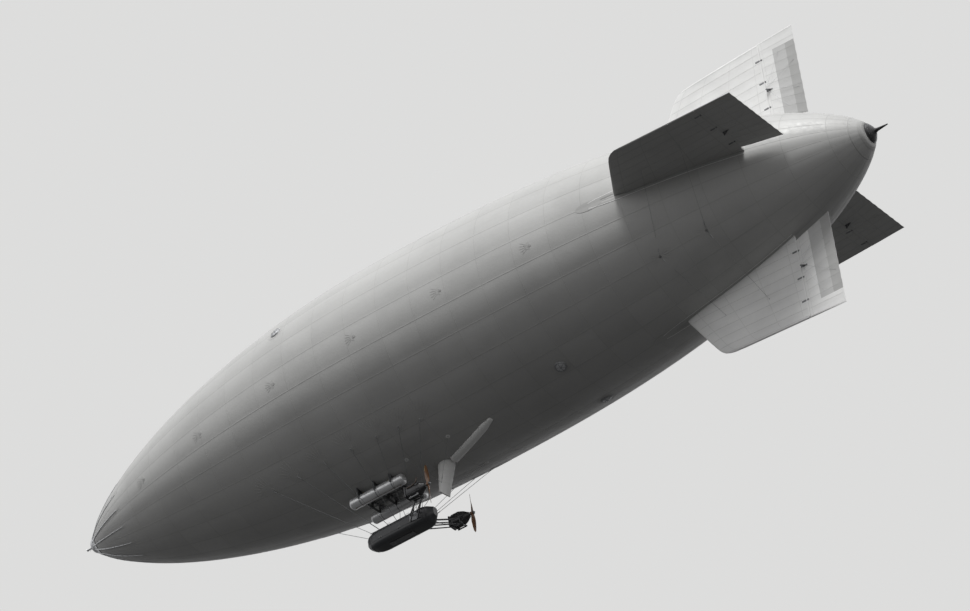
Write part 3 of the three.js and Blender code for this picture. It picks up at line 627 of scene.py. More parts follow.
def slab(bag, lo, hi, bev=0.002, mat=0, matrix=None):
    """Box with bevelled edges between two corners."""
    lo, hi = np.minimum(lo, hi), np.maximum(lo, hi)
    b = min(bev, *(0.45 * (hi - lo)))
    c, h = (lo + hi) / 2, (hi - lo) / 2
    V, idx = [], {}
    for sx in (-1, 1):
        for sy in (-1, 1):
            for sz in (-1, 1):
                s3 = np.array([sx, sy, sz])
                for k in range(3):
                    e = h - b
                    e = e.copy()
                    e[k] = h[k]
                    idx[(sx, sy, sz, k)] = len(V)
                    V.append(c + s3 * e)
    F = []
    for k in range(3):
        o = [i for i in range(3) if i != k]
        for s in (-1, 1):
            q = []
            for u, v in ((-1, -1), (1, -1), (1, 1), (-1, 1)):
                t = [0, 0, 0]
                t[k], t[o[0]], t[o[1]] = s, u, v
                q.append(idx[(*t, k)])
            F.append(tuple(q))
    for k in range(3):
        o = [i for i in range(3) if i != k]
        for u in (-1, 1):
            for v in (-1, 1):
                t0, t1 = [0, 0, 0], [0, 0, 0]
                t0[k], t1[k] = -1, 1
                for t in (t0, t1):
                    t[o[0]], t[o[1]] = u, v
                F.append((idx[(*t0, o[0])], idx[(*t1, o[0])], idx[(*t1, o[1])], idx[(*t0, o[1])]))
    for sx in (-1, 1):
        for sy in (-1, 1):
            for sz in (-1, 1):
                F.append(tuple(idx[(sx, sy, sz, k)] for k in range(3)))
    V = np.array(V)
    W = V - c
    out = []
    for f in F:
        nrm = np.cross(W[f[1]] - W[f[0]], W[f[2]] - W[f[0]])
        out.append(f if np.dot(nrm, W[list(f)].mean(0)) > 0 else tuple(reversed(f)))
    return bag.add(V, out, mat, False, matrix)


def dome(bag, c, axis, r, h=None, n=8, m=3, mat=0, matrix=None):
    """Rivet or bolt head."""
    h = r * 0.6 if h is None else h
    prof = [(-h * 0.3, r)] + [(h * math.sin(k / m * pi / 2), r * math.cos(k / m * pi / 2)) for k in range(m)] + [(h, r * 0.05)]
    return lathe(bag, prof, c, axis, n, mat, matrix=matrix)


def bolt(bag, c, axis, r, h, mat=0, matrix=None):
    lathe(bag, [(0, r * 1.25), (h * 0.25, r * 1.25)], c, axis, 12, mat, matrix=matrix)
    return lathe(bag, [(h * 0.2, r), (h * 0.9, r), (h, r * 0.8)], c, axis, 6, mat, False, matrix=matrix)


def hull_strip(bag, path, width, lift, thick, mat=0, n=1):
    """A flat tape lying on the hull along path [(station, angle)], closed solid."""
    path = np.asarray(path, float)
    w = np.broadcast_to(np.asarray(width, float), (len(path),))
    P0 = hull_pt(path[:, 0], path[:, 1], 0.0)
    T = np.gradient(P0, axis=0)
    T /= np.linalg.norm(T, axis=1)[:, None] + 1e-12
    rings = []
    for i, (s, a) in enumerate(path):
        nn = np.array(hull_n(s, a))
        side = np.cross(T[i], nn)
        side /= np.linalg.norm(side)
        ring = []
        for q, e in ((-0.5, 0), (-0.42, 1), (0.42, 1), (0.5, 0), (0.3, -1), (-0.3, -1)):
            p = P0[i] + side * w[i] * q
            rr = math.hypot(p[1], p[2])
            want = float(hull_r(XN - p[0]) + skin_off(XN - p[0], math.atan2(p[1], p[2]))) + \
                (lift + thick if e == 1 else lift if e == 0 else -0.004)
            p = np.array([p[0], p[1] * want / rr, p[2] * want / rr])
            ring.append(p)
        rings.append(ring)
    return loft(bag, rings, mat, True)


def hull_patch(bag, s0, a0, theta, length, width, lift=0.001, thick=0.002, mat=0, n=8, m=4, start=0.0):
    """A patch on the hull: runs from start to length along theta (0 aft, 90 degrees towards rising angle); width(p) is its half width at p in 0..1."""
    r0 = float(hull_r(s0))
    us = np.linspace(0, 1, n)
    if start < 0:
        us = 0.5 - 0.5 * np.cos(pi * us)
    top = []
    ct, st = math.cos(theta), math.sin(theta)
    for u in us:
        p = start + (length - start) * u
        w = max(width(u), 1e-4)
        for q in np.linspace(-w, w, m):
            du, dv = p * ct - q * st, p * st + q * ct
            top.append((s0 + du, a0 + dv / r0))
    A = np.array(top)
    dip = skin_off(A[:, 0], A[:, 1])
    T = hull_pt(A[:, 0], A[:, 1], lift + thick + dip)
    B = hull_pt(A[:, 0], A[:, 1], dip - 0.004)
    V = np.concatenate([T, B])
    k = n * m
    F = []
    for i in range(n - 1):
        for j in range(m - 1):
            a, b, c, d = i * m + j, i * m + j + 1, (i + 1) * m + j + 1, (i + 1) * m + j
            F.append((a, b, c, d))
            F.append((k + d, k + c, k + b, k + a))
    edge = [j for j in range(m)] + [i * m + m - 1 for i in range(1, n)] + [(n - 1) * m + j for j in range(m - 2, -1, -1)] + \
        [i * m for i in range(n - 2, 0, -1)]
    for i in range(len(edge)):
        a, b = edge[i], edge[(i + 1) % len(edge)]
        F.append((b, a, k + a, k + b))
    if signed(V, F) < 0:
        F = [tuple(reversed(f)) for f in F]
    return bag.add(V, F, mat, True)


def catmull(table, xs):
    """Smooth values of each column of table at positions xs (first column)."""
    t = np.asarray(table, float)
    x = t[:, 0]
    out = []
    for c in range(1, t.shape[1]):
        y = t[:, c]
        d = np.gradient(y, x)
        k = np.clip(np.searchsorted(x, xs) - 1, 0, len(x) - 2)
        h = x[k + 1] - x[k]
        q = (xs - x[k]) / h
        out.append((2 * q ** 3 - 3 * q ** 2 + 1) * y[k] + (q ** 3 - 2 * q ** 2 + q) * h * d[k] +
                   (-2 * q ** 3 + 3 * q ** 2) * y[k + 1] + (q ** 3 - q ** 2) * h * d[k + 1])
    return np.stack(out, -1)


# ------------------------------------------------------------------ envelope
def stations(n, s0=NOSE_OPEN, s1=TAIL_OPEN):
    t = np.linspace(0, 1, n)
    e = 0.55 * (0.5 - 0.5 * np.cos(pi * t)) + 0.45 * t
    return s0 + (s1 - s0) * e


NA = GORES * 8
AA = np.arange(NA) / NA * 2 * pi
b = Bag(M["hull"])
outer = [hull_pt(s, AA, skin_off(s, AA)) for s in stations(156)]
inner = [hull_pt(s, AA, skin_off(s, AA) - 0.010) for s in stations(20)][::-1]
loft(b, outer + inner, caps=False, wrap=True)
b.make("envelope_fabric", slot="envelope_fabric", nodes=["envelope"], sharp=0)

# tapes over the seams between the gores and between their panels
b = Bag(M["tape"])
for k in range(GORES):
    a = k * 2 * pi / GORES
    ss = stations(96, 0.40, 28.95)
    w = 0.034 * np.clip(hull_r(ss) / R * 1.6, 0.35, 1)
    hull_strip(b, [(s, a) for s in ss], w, 0.0006, 0.0012)
PANEL = 1.22
for k in range(-13, 12):
    s = XN - k * PANEL
    if 2.3 < s < 28.7:
        rings = []
        for i in range(NA):
            a = AA[i]
            ring = []
            for ds, e in ((-0.014, -0.003), (-0.010, 0.0016), (0.010, 0.0016), (0.014, -0.003)):
                ring.append(hull_pt(s + ds, a, skin_off(s + ds, a) + e))
            rings.append(ring)
        loft(b, rings, caps=False, wrap=True)
b.make("envelope_seam_tapes", slot="envelope_fabric")

# rip panel on the top, doublers, handling patches
b = Bag(M["patch"], M["tape"], M["bright"], M["hull"])
hull_patch(b, 9.2, 0.0, 0.0, 4.4, lambda u: 0.17 * min(1, 6 * u + 0.25, 6 * (1 - u) + 0.25), 0.001, 0.003, 0, 60, 9)
for q in (-1, 1):
    hull_strip(b, [(s, q * 0.19 / float(hull_r(s))) for s in np.linspace(9.1, 13.7, 40)], 0.04, 0.001, 0.002, 1)
hull_strip(b, [(s, 0.0) for s in np.linspace(8.2, 9.3, 12)], 0.02, 0.004, 0.006, 1)


def finger_patch(b, s, a, theta, size, fingers=5, ring=True, spread=0.30):
    """Fan of narrow bands over a half-round doubler, theta is the way they point."""
    for k in range(fingers):
        q = (k - (fingers - 1) / 2) * spread
        hull_patch(b, s, a, theta + q, size, lambda u: size * 0.036 * min(1, 0.25 + 5 * u) * min(1, 0.30 + 12 * (1 - u)), 0.0022 + 0.0002 * k, 0.0014, 0, 7, 3)
    hull_patch(b, s, a, theta, size * 0.42, lambda u: size * 0.42 * math.sqrt(max(1 - u * u, 0)) * min(1, 0.93 + 0.6 * u), 0.0014, 0.0014, 0, 12, 8)
    hull_patch(b, s, a, theta, size * 0.16, lambda u: size * 0.16 * math.sqrt(max(1 - (2 * u - 1) ** 2, 0)), 0.0052, 0.002, 0, 10, 5, start=-size * 0.16)
    if ring:
        n = np.array(hull_n(s, a))
        p = hull_pt(s, a, 0.012)
        t = np.array([-math.cos(theta), 0, 0]) + math.sin(theta) * -np.array([0, math.cos(a), -math.sin(a)])
        ax = np.cross(n, t)
        torus(b, p + np.array(t) * 0.012, ax + n * 0.5, size * 0.075, 0.0045, 20, 8, 2)


for s in (3.6, 6.4, 9.6, 12.8, 16.0, 19.2):
    for q in (1, -1):
        finger_patch(b, s, q * math.radians(97), pi, 0.34, 5)
b.make("envelope_patches", slot="envelope_fabric")

# ------------------------------------------------------------------ nose cap and battens
b = Bag(M["alloy"], M["patch"], M["bright"], M["tape"])
ctrl = [(-0.060, 0.060), (-0.052, 0.085), (-0.030, 0.130), (0.030, 0.222), (NOSE_OPEN, float(hull_r(NOSE_OPEN)) + 0.022),
        (0.220, float(hull_r(0.220)) + 0.023), (0.320, float(hull_r(0.320)) + 0.022)]
tt = np.linspace(0, len(ctrl) - 1, 30)
cc = catmull([(i, *p) for i, p in enumerate(ctrl)], tt)
prof = [(-0.060, 0.0005)] + [tuple(p) for p in cc] + [(0.326, float(hull_r(0.32)) + 0.012), (0.322, float(hull_r(0.32)) - 0.004),
                                                   (NOSE_OPEN, 0.292), (NOSE_OPEN + 0.004, 0.001)]
lathe(b, [(-s, r) for s, r in prof], (XN, 0, 0), (1, 0, 0), 96)
for s, n, r in ((0.285, 64, 0.0055), (0.165, 48, 0.0055), (0.0, 32, 0.005)):
    for k in range(n):
        a = (k + 0.5) / n * 2 * pi
        rr = float(np.interp(s, [p[0] for p in prof[1:-3]], [p[1] for p in prof[1:-3]]))
        dome(b, (X(s), rr * math.sin(a), rr * math.cos(a)), (0.7, math.sin(a), math.cos(a)), r, n=8, m=2, mat=2)
BAT = 16
for k in range(BAT):
    a = (k + 0.5) * 2 * pi / BAT
    ss = np.concatenate([np.linspace(0.20, 1.92, 22), np.linspace(1.94, 1.995, 6)])
    t = np.clip((ss - 0.20) / 1.8, 0, 1)
    wide = 0.046 * (1 - 0.35 * t)
    high = 0.021 * (1 - 0.45 * t)
    endk = np.sqrt(np.clip(1 - np.clip((ss - 1.93) / 0.066, 0, 1) ** 2, 0.02, 1))
    rings = []
    for s, w, h, e in zip(ss, wide, high, endk):
        w, h = w * (0.5 + 0.5 * e), h * e
        ph = np.linspace(0, pi, 9)
        pts = [hull_pt(s, a + math.cos(p) * w / 2 / float(hull_r(s)), 0.001 + math.sin(p) * h + (0.018 if s < 0.33 else 0.0) * max(0, (0.33 - s) / 0.13)) for p in ph]
        pts += [hull_pt(s, a - 0.4 * w / float(hull_r(s)), -0.008), hull_pt(s, a + 0.4 * w / float(hull_r(s)), -0.008)]
        rings.append(pts)
    loft(b, rings)
    hull_strip(b, [(s, a) for s in np.linspace(0.34, 2.14, 26)], np.linspace(0.075, 0.125, 26), 0.0012, 0.0016, 1)
    for s in np.linspace(0.50, 1.86, 7):
        r = float(hull_r(s))
        tq = (s - 0.20) / 1.8
        w, h = 0.046 * (1 - 0.35 * tq), 0.021 * (1 - 0.45 * tq)
        P = [hull_pt(s, a + math.cos(p) * (w / 2 + 0.016 * (1 if math.sin(p) < 0.2 else 0)) / r, 0.0035 + math.sin(p) * h) for p in np.linspace(0, pi, 9)]
        tube(b, P, 0.0036, 6, 3)
b.make("nose_cap_and_battens", slot="bright_alloy", nodes=["nose_cap"])

b = Bag(M["bright"], M["steel"])
prof = [(0.0595, 0.001), (0.0597, 0.056), (0.066, 0.0575), (0.090, 0.056), (0.112, 0.036), (0.130, 0.0268), (0.180, 0.025), (0.226, 0.0262),
        (0.236, 0.038), (0.240, 0.0412), (0.247, 0.042), (0.258, 0.0418), (0.264, 0.040), (0.2695, 0.034), (0.270, 0.030), (0.270, 0.001)]
lathe(b, prof, (XN, 0, 0), (1, 0, 0), 64, 0)
for k in range(8):
    a = (k + 0.5) / 8 * 2 * pi
    bolt(b, (XN + 0.078, 0.044 * math.sin(a), 0.044 * math.cos(a)), (1, 0, 0), 0.0055, 0.012, 1)
torus(b, (XN + 0.155, 0, -0.045), (0, 1, 0), 0.022, 0.0045, 24, 8, 1)
b.make("mooring_cone_fitting", slot="steel_fittings", nodes=["mooring_cone"])

# ------------------------------------------------------------------ tail cap
b = Bag(M["black"], M["bright"])
ctrl = [(TAIL_OPEN + 0.001, 0.327), (29.250, 0.305), (29.300, 0.262), (29.345, 0.200), (29.385, 0.128), (29.420, 0.082), (29.450, 0.062),
        (29.520, 0.050), (29.640, 0.038), (29.760, 0.026), (29.830, 0.020), (29.846, 0.016)]
tt = np.linspace(0, len(ctrl) - 1, 44)
cc = catmull([(i, *p) for i, p in enumerate(ctrl)], tt)
lathe(b, [(-TAIL_OPEN - 0.0005, 0.001)] + [(-s, r) for s, r in cc] + [(-29.8499, 0.010), (-29.85, 0.001)], (XN, 0, 0), (1, 0, 0), 72)
for s, r in ((29.262, 0.298), (29.372, 0.150), (29.445, 0.066)):
    torus(b, (X(s), 0, 0), (1, 0, 0), r, 0.006, 72, 8, 0)
for k in range(40):
    a = (k + 0.5) / 40 * 2 * pi
    dome(b, (X(29.300), 0.262 * math.sin(a), 0.262 * math.cos(a)), (-1, 0.8 * math.sin(a), 0.8 * math.cos(a)), 0.0055, n=8, m=2, mat=1)
b.make("tail_cone", slot="dark_paint", nodes=["tail_cap"])
b = Bag(M["patch"], M["tape"])
hull_strip(b, [(29.12, a) for a in np.linspace(0, 2 * pi, 97)], 0.10, 0.002, 0.002, 0)
hull_strip(b, [(28.88, a) for a in np.linspace(0, 2 * pi, 97)], 0.05, 0.002, 0.002, 1)
b.make("tail_bands", slot="envelope_fabric")
# ------------------------------------------------------------------ fins, rudders, elevators
def boolean(obj, cutter, op="DIFFERENCE"):
    md = obj.modifiers.new("cut", "BOOLEAN")
    md.object = cutter
    md.operation = op
    md.solver = "EXACT"
    dg = bpy.context.evaluated_depsgraph_get()
    me = bpy.data.meshes.new_from_object(obj.evaluated_get(dg))
    obj.modifiers.clear()
    old = obj.data
    obj.data = me
    bpy.data.meshes.remove(old)
    bpy.data.objects.remove(cutter)
    return obj


def plain(bag, name="tmp"):
    o = bag.make(name, body=None, sharp=0)
    return o


LEAD = np.array([(1.50, 21.290), (1.70, 21.400), (3.25, 22.230), (4.20, 22.770), (4.48, 22.935), (4.66, 23.060), (4.78, 23.200), (4.84, 23.345), (4.88, 23.52)])
FINS = [("upper", "rudder", 0, 4.88, 5.12), ("lower", "rudder", 180, 4.88, 5.12), ("port", "elevator", 90, 4.85, 4.68),
        ("starboard", "elevator", -90, 4.85, 4.68)]
FIN_END = 26.136
ROOT_H, ROOT_T = 2.26, 1.84
HINGES = (2.65, 3.60, 4.42)
RIBS = 10


def thick_at(d):
    return 0.170 + (0.070 - 0.170) * np.clip((d - 2.3) / 2.6, 0, 1)


for name, kind, turn, tip0, tip1 in FINS:
    T = Matrix.Rotation(math.radians(-turn), 4, "X")

    def tip_at(s):
        return tip0 + (tip1 - tip0) * (s - 23.45) / (TE - 23.45)

    def fin_pt(u, a, side, lift=0.0, base=1.60):
        """u from root to tip, a from leading edge to hinge line, side +-1; gives (station, thickness way, distance)."""
        top = 4.88 if tip0 > 4.86 else 4.85
        dn = base + u * (top - base)
        lead = np.interp(dn, LEAD[:, 0], LEAD[:, 1])
        s = lead + a * (FIN_END - lead)
        d = dn + u * (tip_at(s) - top) * np.clip((a - 0.0) * 8, 0, 1)
        h = np.where(a < 0.22, thick_at(d) / 2 * np.sqrt(np.clip(1 - (1 - a / 0.22) ** 2, 0, 1)),
                     thick_at(d) / 2 + (0.032 - thick_at(d) / 2) * np.clip((a - 0.22) / 0.78, 0, 1) ** 1.25)
        h = np.minimum(h, thick_at(d) / 2)
        bay = (u * RIBS) % 1.0
        sag = 0.0035 * np.sin(pi * bay) ** 2 * np.clip(a * 8, 0, 1) * np.clip((1 - a) * 10, 0, 1)
        close = np.sqrt(np.clip(1 - np.clip((u - 0.985) / 0.015, 0, 1) ** 2, 0.03, 1))
        return s, side * (h * close - sag + lift), d

    # Upright fins take the light copy of the fabric, which stands in for light. Flat fins take the dark copy, which is
    # painted shade.
    skin, rib = (M["fin"], M["rib"]) if kind == "rudder" else (M["fin_flat"], M["rib_flat"])
    b = Bag(skin, rib, M["steel"], M["bright"], M["patch"])
    us = np.concatenate([np.linspace(0, 0.984, RIBS * 6 + 1), np.linspace(0.986, 1, 6)])
    aa = np.concatenate([np.linspace(0, 1, 9)[:-1] ** 2 * 0.22, np.linspace(0.22, 1, 22)])
    rings = []
    for u in us:
        up = [fin_pt(u, a, 1) for a in aa]
        dn = [fin_pt(u, a, -1) for a in aa[:0:-1]]
        rings.append([(X(s), t, d) for s, t, d in up + dn])
    loft(b, rings, 0)
    # rib and spar tapes
    for k in range(1, RIBS + 1):
        u0 = min(k / RIBS, 0.978)
        for side in (1, -1):
            rr = []
            for a in np.linspace(0.004, 0.995, 30):
                q = [fin_pt(u0 - 0.0042, a, side, -0.004), fin_pt(u0 - 0.0036, a, side, 0.0022), fin_pt(u0 + 0.0036, a, side, 0.0022), fin_pt(u0 + 0.0042, a, side, -0.004)]
                rr.append([(X(s), t, d) for s, t, d in q])
            loft(b, rr, 1)
    for a0 in (0.10, 0.36, 0.66, 0.93):
        for side in (1, -1):
            rr = []
            for u in np.linspace(0.02, 0.975, 60):
                q = [fin_pt(u, a0 - 0.0042, side, -0.004), fin_pt(u, a0 - 0.0036, side, 0.0018), fin_pt(u, a0 + 0.0036, side, 0.0018), fin_pt(u, a0 + 0.0042, side, -0.004)]
                rr.append([(X(s), t, d) for s, t, d in q])
            loft(b, rr, 1)
    # stitches along the ribs
    for k in range(1, RIBS):
        for side in (1, -1):
            for a in np.linspace(0.05, 0.95, 34):
                s, t, d = fin_pt(k / RIBS, a, side, 0.0022)
                rod(b, (X(s) - 0.010, t, d), (X(s) + 0.010, t, d), 0.0022, sides=4, mat=4)
    # thin lips that close the gap ahead of the moving surface
    for side in (1, -1):
        rr = []
        for u in np.linspace(0.206 if kind == "rudder" else 0.208, 0.985, 60):
            t = float(fin_pt(u, 1.0, 1)[1])
            d = float(fin_pt(u, 1.0, 1)[2])
            rr.append([(X(s), side * e, d) for s, e in ((FIN_END - 0.030, t - 0.0010), (HINGE - 0.012, t - 0.0008), (HINGE - 0.0105, t + 0.0002), (HINGE - 0.012, t + 0.0010), (FIN_END - 0.028, t + 0.0012))])
        loft(b, rr, 0)
    # hinge fittings: eye on the axis, forked arm, side plates with bolts
    for d in HINGES:
        lathe(b, [(-0.015, 0.0095), (-0.015, 0.020), (0.015, 0.020), (0.015, 0.0095)], (X(HINGE), 0, d), (0, 0, 1), 32, 2, wrap=True)
        slab(b, (X(HINGE) + 0.014, -0.013, d - 0.0145), (X(FIN_END - 0.06), 0.013, d + 0.0145), 0.003, 2)
        for side in (1, -1):
            s, t, dd = fin_pt((d - 1.60) / (4.88 - 1.60), 0.985, side)
            slab(b, (X(FIN_END) + 0.001, abs(t) * side - 0.002, d - 0.030), (X(FIN_END - 0.16), abs(t) * side + 0.005 * side, d + 0.030), 0.0015, 2)
            for q in (0.03, 0.075, 0.12):
                dome(b, (X(FIN_END - q), side * (abs(t) + 0.005 + 0.0004 * q), d), (0, side, 0), 0.006, n=8, m=2, mat=3)
    for i in range(len(b.v)):
        b.v[i] = b.v[i] @ np.array(T.to_3x3()).T
    b.make(name + "_fin_panel", slot="fin_fabric", nodes=[name + "_fin"], sharp=40)

    # moving surface
    def root_at(s):
        return ROOT_H + (ROOT_T - ROOT_H) * (s - HINGE) / (TE - HINGE)

    def surf_h(c, d):
        t = np.minimum(thick_at(d), 0.112) / 2 * 0.62
        q = np.clip(c / 0.30, 0, 1)
        w = np.clip((c - 0.30) / 0.91, 0, 1)
        return np.where(c < 0.30, 0.026 + (t - 0.026) * (3 * q * q - 2 * q ** 3), t + (0.004 - t) * w)

    def surf_pt(u, c, side, lift=0.0):
        """u root to tip, c metres behind the hinge axis."""
        s = HINGE + c
        d0, d1 = root_at(s), tip_at(s)
        d = d0 + u * (d1 - d0)
        bay = (u * 9) % 1.0
        sag = 0.0028 * np.sin(pi * bay) ** 2 * np.clip(c * 10, 0, 1) * np.clip((1.21 - c) * 8, 0, 1)
        end = np.minimum(u, 1 - u)
        close = np.sqrt(np.clip(1 - np.clip((0.008 - end) / 0.008, 0, 1) ** 2, 0.04, 1))
        te = 0.010 * np.sin(pi * bay) ** 2 * (c > 1.19)
        return s - te, side * (surf_h(c, d) * close - sag + lift), d

    b = Bag(skin, rib, M["steel"], M["bright"], M["fin_grey"], M["fin_dark"])
    us = np.concatenate([[0, 0.001, 0.003, 0.006], np.linspace(0.009, 0.991, 73), [0.994, 0.997, 0.999, 1]])
    cs = np.concatenate([[0.0], np.linspace(0.02, 0.30, 8), np.linspace(0.36, 1.205, 22), [1.21]])
    rings = []
    for u in us:
        end = min(u, 1 - u)
        kk = math.sqrt(min(max(1 - max(0, (0.008 - end) / 0.008) ** 2, 0.04), 1))
        d_h = root_at(HINGE) + u * (tip_at(HINGE) - root_at(HINGE))
        noser = []
        for i in range(1, 8):
            q = -pi / 2 + pi * i / 8          # round nose ahead of the hinge axis
            noser.append((X(HINGE - math.cos(q) * 0.026 * kk), math.sin(q) * 0.026 * kk, d_h))
        up = [surf_pt(u, c, 1) for c in cs]
        dn = [surf_pt(u, c, -1) for c in cs[::-1]]
        rings.append(noser + [(X(s), t, d) for s, t, d in up + dn])
    k0 = len(b.f)
    loft(b, rings, 0)
    # plain upright bands on the rudders
    if kind == "rudder":
        per = len(rings[0])
        for fi in range(k0, len(b.f) - 2):
            j = (fi - k0) % per
            i = (fi - k0) // per
            c = None
            if 7 <= j < 7 + len(cs) - 1:
                c = cs[j - 7]
            elif 7 + len(cs) <= j < 7 + 2 * len(cs) - 1:
                c = cs[::-1][j - 7 - len(cs) + 1]
            if c is not None and us[i] < 0.83:
                if 0.43 < c < 0.85:
                    b.mi[fi] = 4
                elif c >= 0.85:
                    b.mi[fi] = 5
    obj = plain(b)
    cb = Bag(M["steel"])
    for d in HINGES:
        slab(cb, (X(HINGE + 0.040), -0.09, d - 0.021), (X(HINGE - 0.066), 0.09, d + 0.021), 0.0001)
    cutter = plain(cb, "cutter")
    boolean(obj, cutter)
    me = obj.data
    bpy.data.objects.remove(obj)
    b = Bag(skin, rib, M["steel"], M["bright"], M["fin_grey"], M["fin_dark"])
    V = np.empty(len(me.vertices) * 3)
    me.vertices.foreach_get("co", V)
    b.v.append(V.reshape(-1, 3))
    b.f = [tuple(p.vertices) for p in me.polygons]
    b.mi = [p.material_index for p in me.polygons]
    b.sm = [True] * len(b.f)
    b.k = len(me.vertices)
    for k in range(0, 10):
        u0 = min(max(k / 9, 0.014), 0.986)
        for side in (1, -1):
            band = kind == "rudder" and u0 < 0.83
            for c0, c1, m_ in ((0.05, 0.43, 1), (0.43, 0.85, 4), (0.85, 1.195, 5)) if band else ((0.05, 1.195, 1),):
                rr = []
                for c in np.linspace(c0, c1, 10 if band else 22):
                    q = [surf_pt(u0 - 0.0042, c, side, -0.003), surf_pt(u0 - 0.0036, c, side, 0.002), surf_pt(u0 + 0.0036, c, side, 0.002), surf_pt(u0 + 0.0042, c, side, -0.003)]
                    rr.append([(X(s), t, d) for s, t, d in q])
                loft(b, rr, m_)
    for c0 in (0.10,) if kind == "rudder" else (0.10, 0.62):
        for side in (1, -1):
            rr = []
            for u in np.linspace(0.012, 0.988, 60):
                q = [surf_pt(u, c0 - 0.012, side, -0.003), surf_pt(u, c0 - 0.010, side, 0.0018), surf_pt(u, c0 + 0.010, side, 0.0018), surf_pt(u, c0 + 0.012, side, -0.003)]
                rr.append([(X(s), t, d) for s, t, d in q])
            loft(b, rr, 1)
    for d in HINGES:
        rod(b, (X(HINGE), 0, d - 0.040), (X(HINGE), 0, d + 0.040), 0.009, sides=20, mat=3)
        for q in (-1, 1):
            slab(b, (X(HINGE) - 0.055, -0.029, d + q * 0.024), (X(HINGE) + 0.012, 0.029, d + q * 0.029), 0.0015, 2)
    # horn plates with their wires, amidships on both sides
    dh = 3.25
    for side in (1, -1):
        h0 = 0.033
        ring = [(X(HINGE + 0.020), side * 0.020, dh), (X(HINGE + 0.030), side * 0.150, dh), (X(HINGE + 0.060), side * 0.158, dh),
                (X(HINGE + 0.085), side * 0.140, dh), (X(HINGE + 0.200), side * 0.026, dh)]
        loft(b, [[(x, t, dh - 0.004) for x, t, _ in ring], [(x, t, dh + 0.004) for x, t, _ in ring]], 2, False)
        slab(b, (X(HINGE + 0.215), side * 0.020, dh - 0.022), (X(HINGE + 0.005), side * 0.0385, dh + 0.022), 0.002, 2)
        for c, u in ((1.08, 0.30), (1.08, 0.62), (0.62, 0.78), (0.62, 0.12)):
            s, t, d = surf_pt(u, c, side, 0.004)
            rod(b, (X(HINGE + 0.062), side * 0.150, dh), (X(s), t, d), 0.0028, sides=6, mat=3)
            dome(b, (X(s), t - side * 0.002, d), (0, side, 0), 0.012, 0.006, 12, 3, 3)
    for i in range(len(b.v)):
        b.v[i] = b.v[i] @ np.array(T.to_3x3()).T
    b.make("%s_%s_panel" % (name, kind), body="%s_%s" % (name, kind), slot="fin_fabric", nodes=["%s_%s" % (name, kind)], sharp=40)

# fabric skirts where the fins stand on the hull, and bracing wires from fin to hull
b = Bag(M["patch"], M["rib"], M["wire"], M["bright"])
for name, kind, turn, tip0, tip1 in FINS:
    a0 = math.radians(turn)
    for side in (1, -1):
        path = []
        for s in np.linspace(21.28, 26.12, 46):
            r = float(hull_r(s))
            h = 0.085 * math.sqrt(min(max((s - 21.34) / 0.9, 0), 1)) * (1 - 0.55 * max(0, (s - 23) / 3.2)) + 0.030
            path.append((s, a0 + side * (h + 0.012) / r))
        hull_strip(b, path, 0.13, 0.003, 0.003, 0)
        hull_strip(b, [(s, a + side * 0.05 / float(hull_r(s))) for s, a in path], 0.022, 0.0065, 0.0015, 1)
    hull_patch(b, 21.20, a0, 0.0, 0.50, lambda u: 0.16 * math.sqrt(max(1 - (2 * u - 1) ** 2, 0)), 0.004, 0.003, 0, 16, 7, start=-0.35)
for k in range(4):
    a = math.radians(45 + 90 * k)
    for s in (22.75, 24.30):
        finger_patch(b, s, a, 0.0, 0.30, 5, ring=False)
        finger_patch(b, s, a, pi, 0.30, 5, ring=False)
for name, kind, turn, tip0, tip1 in FINS:
    T = Matrix.Rotation(math.radians(-turn), 3, "X")
    for side in (1, -1):
        for s_f, d_f, s_h in ((23.45, 3.55, 22.75), (24.95, 3.75, 24.30)):
            lead = float(np.interp(d_f, LEAD[:, 0], LEAD[:, 1]))
            af = (s_f - lead) / (FIN_END - lead)
            h = float(thick_at(d_f) / 2 + (0.032 - thick_at(d_f) / 2) * max(0, (af - 0.22) / 0.78) ** 1.25)
            p = T @ Vector((X(s_f), side * (h - 0.002), d_f))
            ah = math.radians(turn) + side * math.radians(45)
            q = Vector(hull_pt(s_h, ah, 0.006))
            rod(b, p, q, 0.0042, sides=8, mat=2)
            e = (q - p).normalized()
            tube(b, [q - e * 0.30, q - e * 0.27, q - e * 0.15, q - e * 0.12], [0.004, 0.011, 0.011, 0.004], 10, 3)
            dome(b, p, T @ Vector((0, side, 0)), 0.018, 0.010, 14, 3, 3)
            dome(b, q - Vector(hull_n(s_h, ah)) * 0.006, hull_n(s_h, ah), 0.022, 0.012, 14, 3, 3)
b.make("fin_skirts_and_wires", slot="envelope_fabric")
# ------------------------------------------------------------------ the car
PLACE = place_car
CAR = [(9.520, 0.060, -0.110, 0.300), (9.580, 0.150, -0.070, 0.190), (9.720, 0.255, -0.025, 0.080), (9.940, 0.335, 0.0, 0.015),
       (10.270, 0.375, 0.0, 0.0), (12.060, 0.375, 0.0, 0.0), (12.360, 0.310, 0.0, 0.060), (12.560, 0.130, -0.030, 0.240)]
_ct = np.array(CAR)


def car_at(s):
    v = []
    for c in (1, 2, 3):
        y = _ct[:, c]
        x = _ct[:, 0]
        lin = np.interp(s, x, y)
        if 10.27 < s < 12.06:
            v.append(lin)
            continue
        d = np.gradient(y, x)
        d[4] = d[5] = 0.0
        k = int(np.clip(np.searchsorted(x, s) - 1, 0, len(x) - 2))
        h = x[k + 1] - x[k]
        q = (s - x[k]) / h
        cub = (2 * q ** 3 - 3 * q ** 2 + 1) * y[k] + (q ** 3 - 2 * q ** 2 + q) * h * d[k] + (-2 * q ** 3 + 3 * q ** 2) * y[k + 1] + (q ** 3 - q ** 2) * h * d[k + 1]
        v.append(0.5 * lin + 0.5 * cub)
    return v


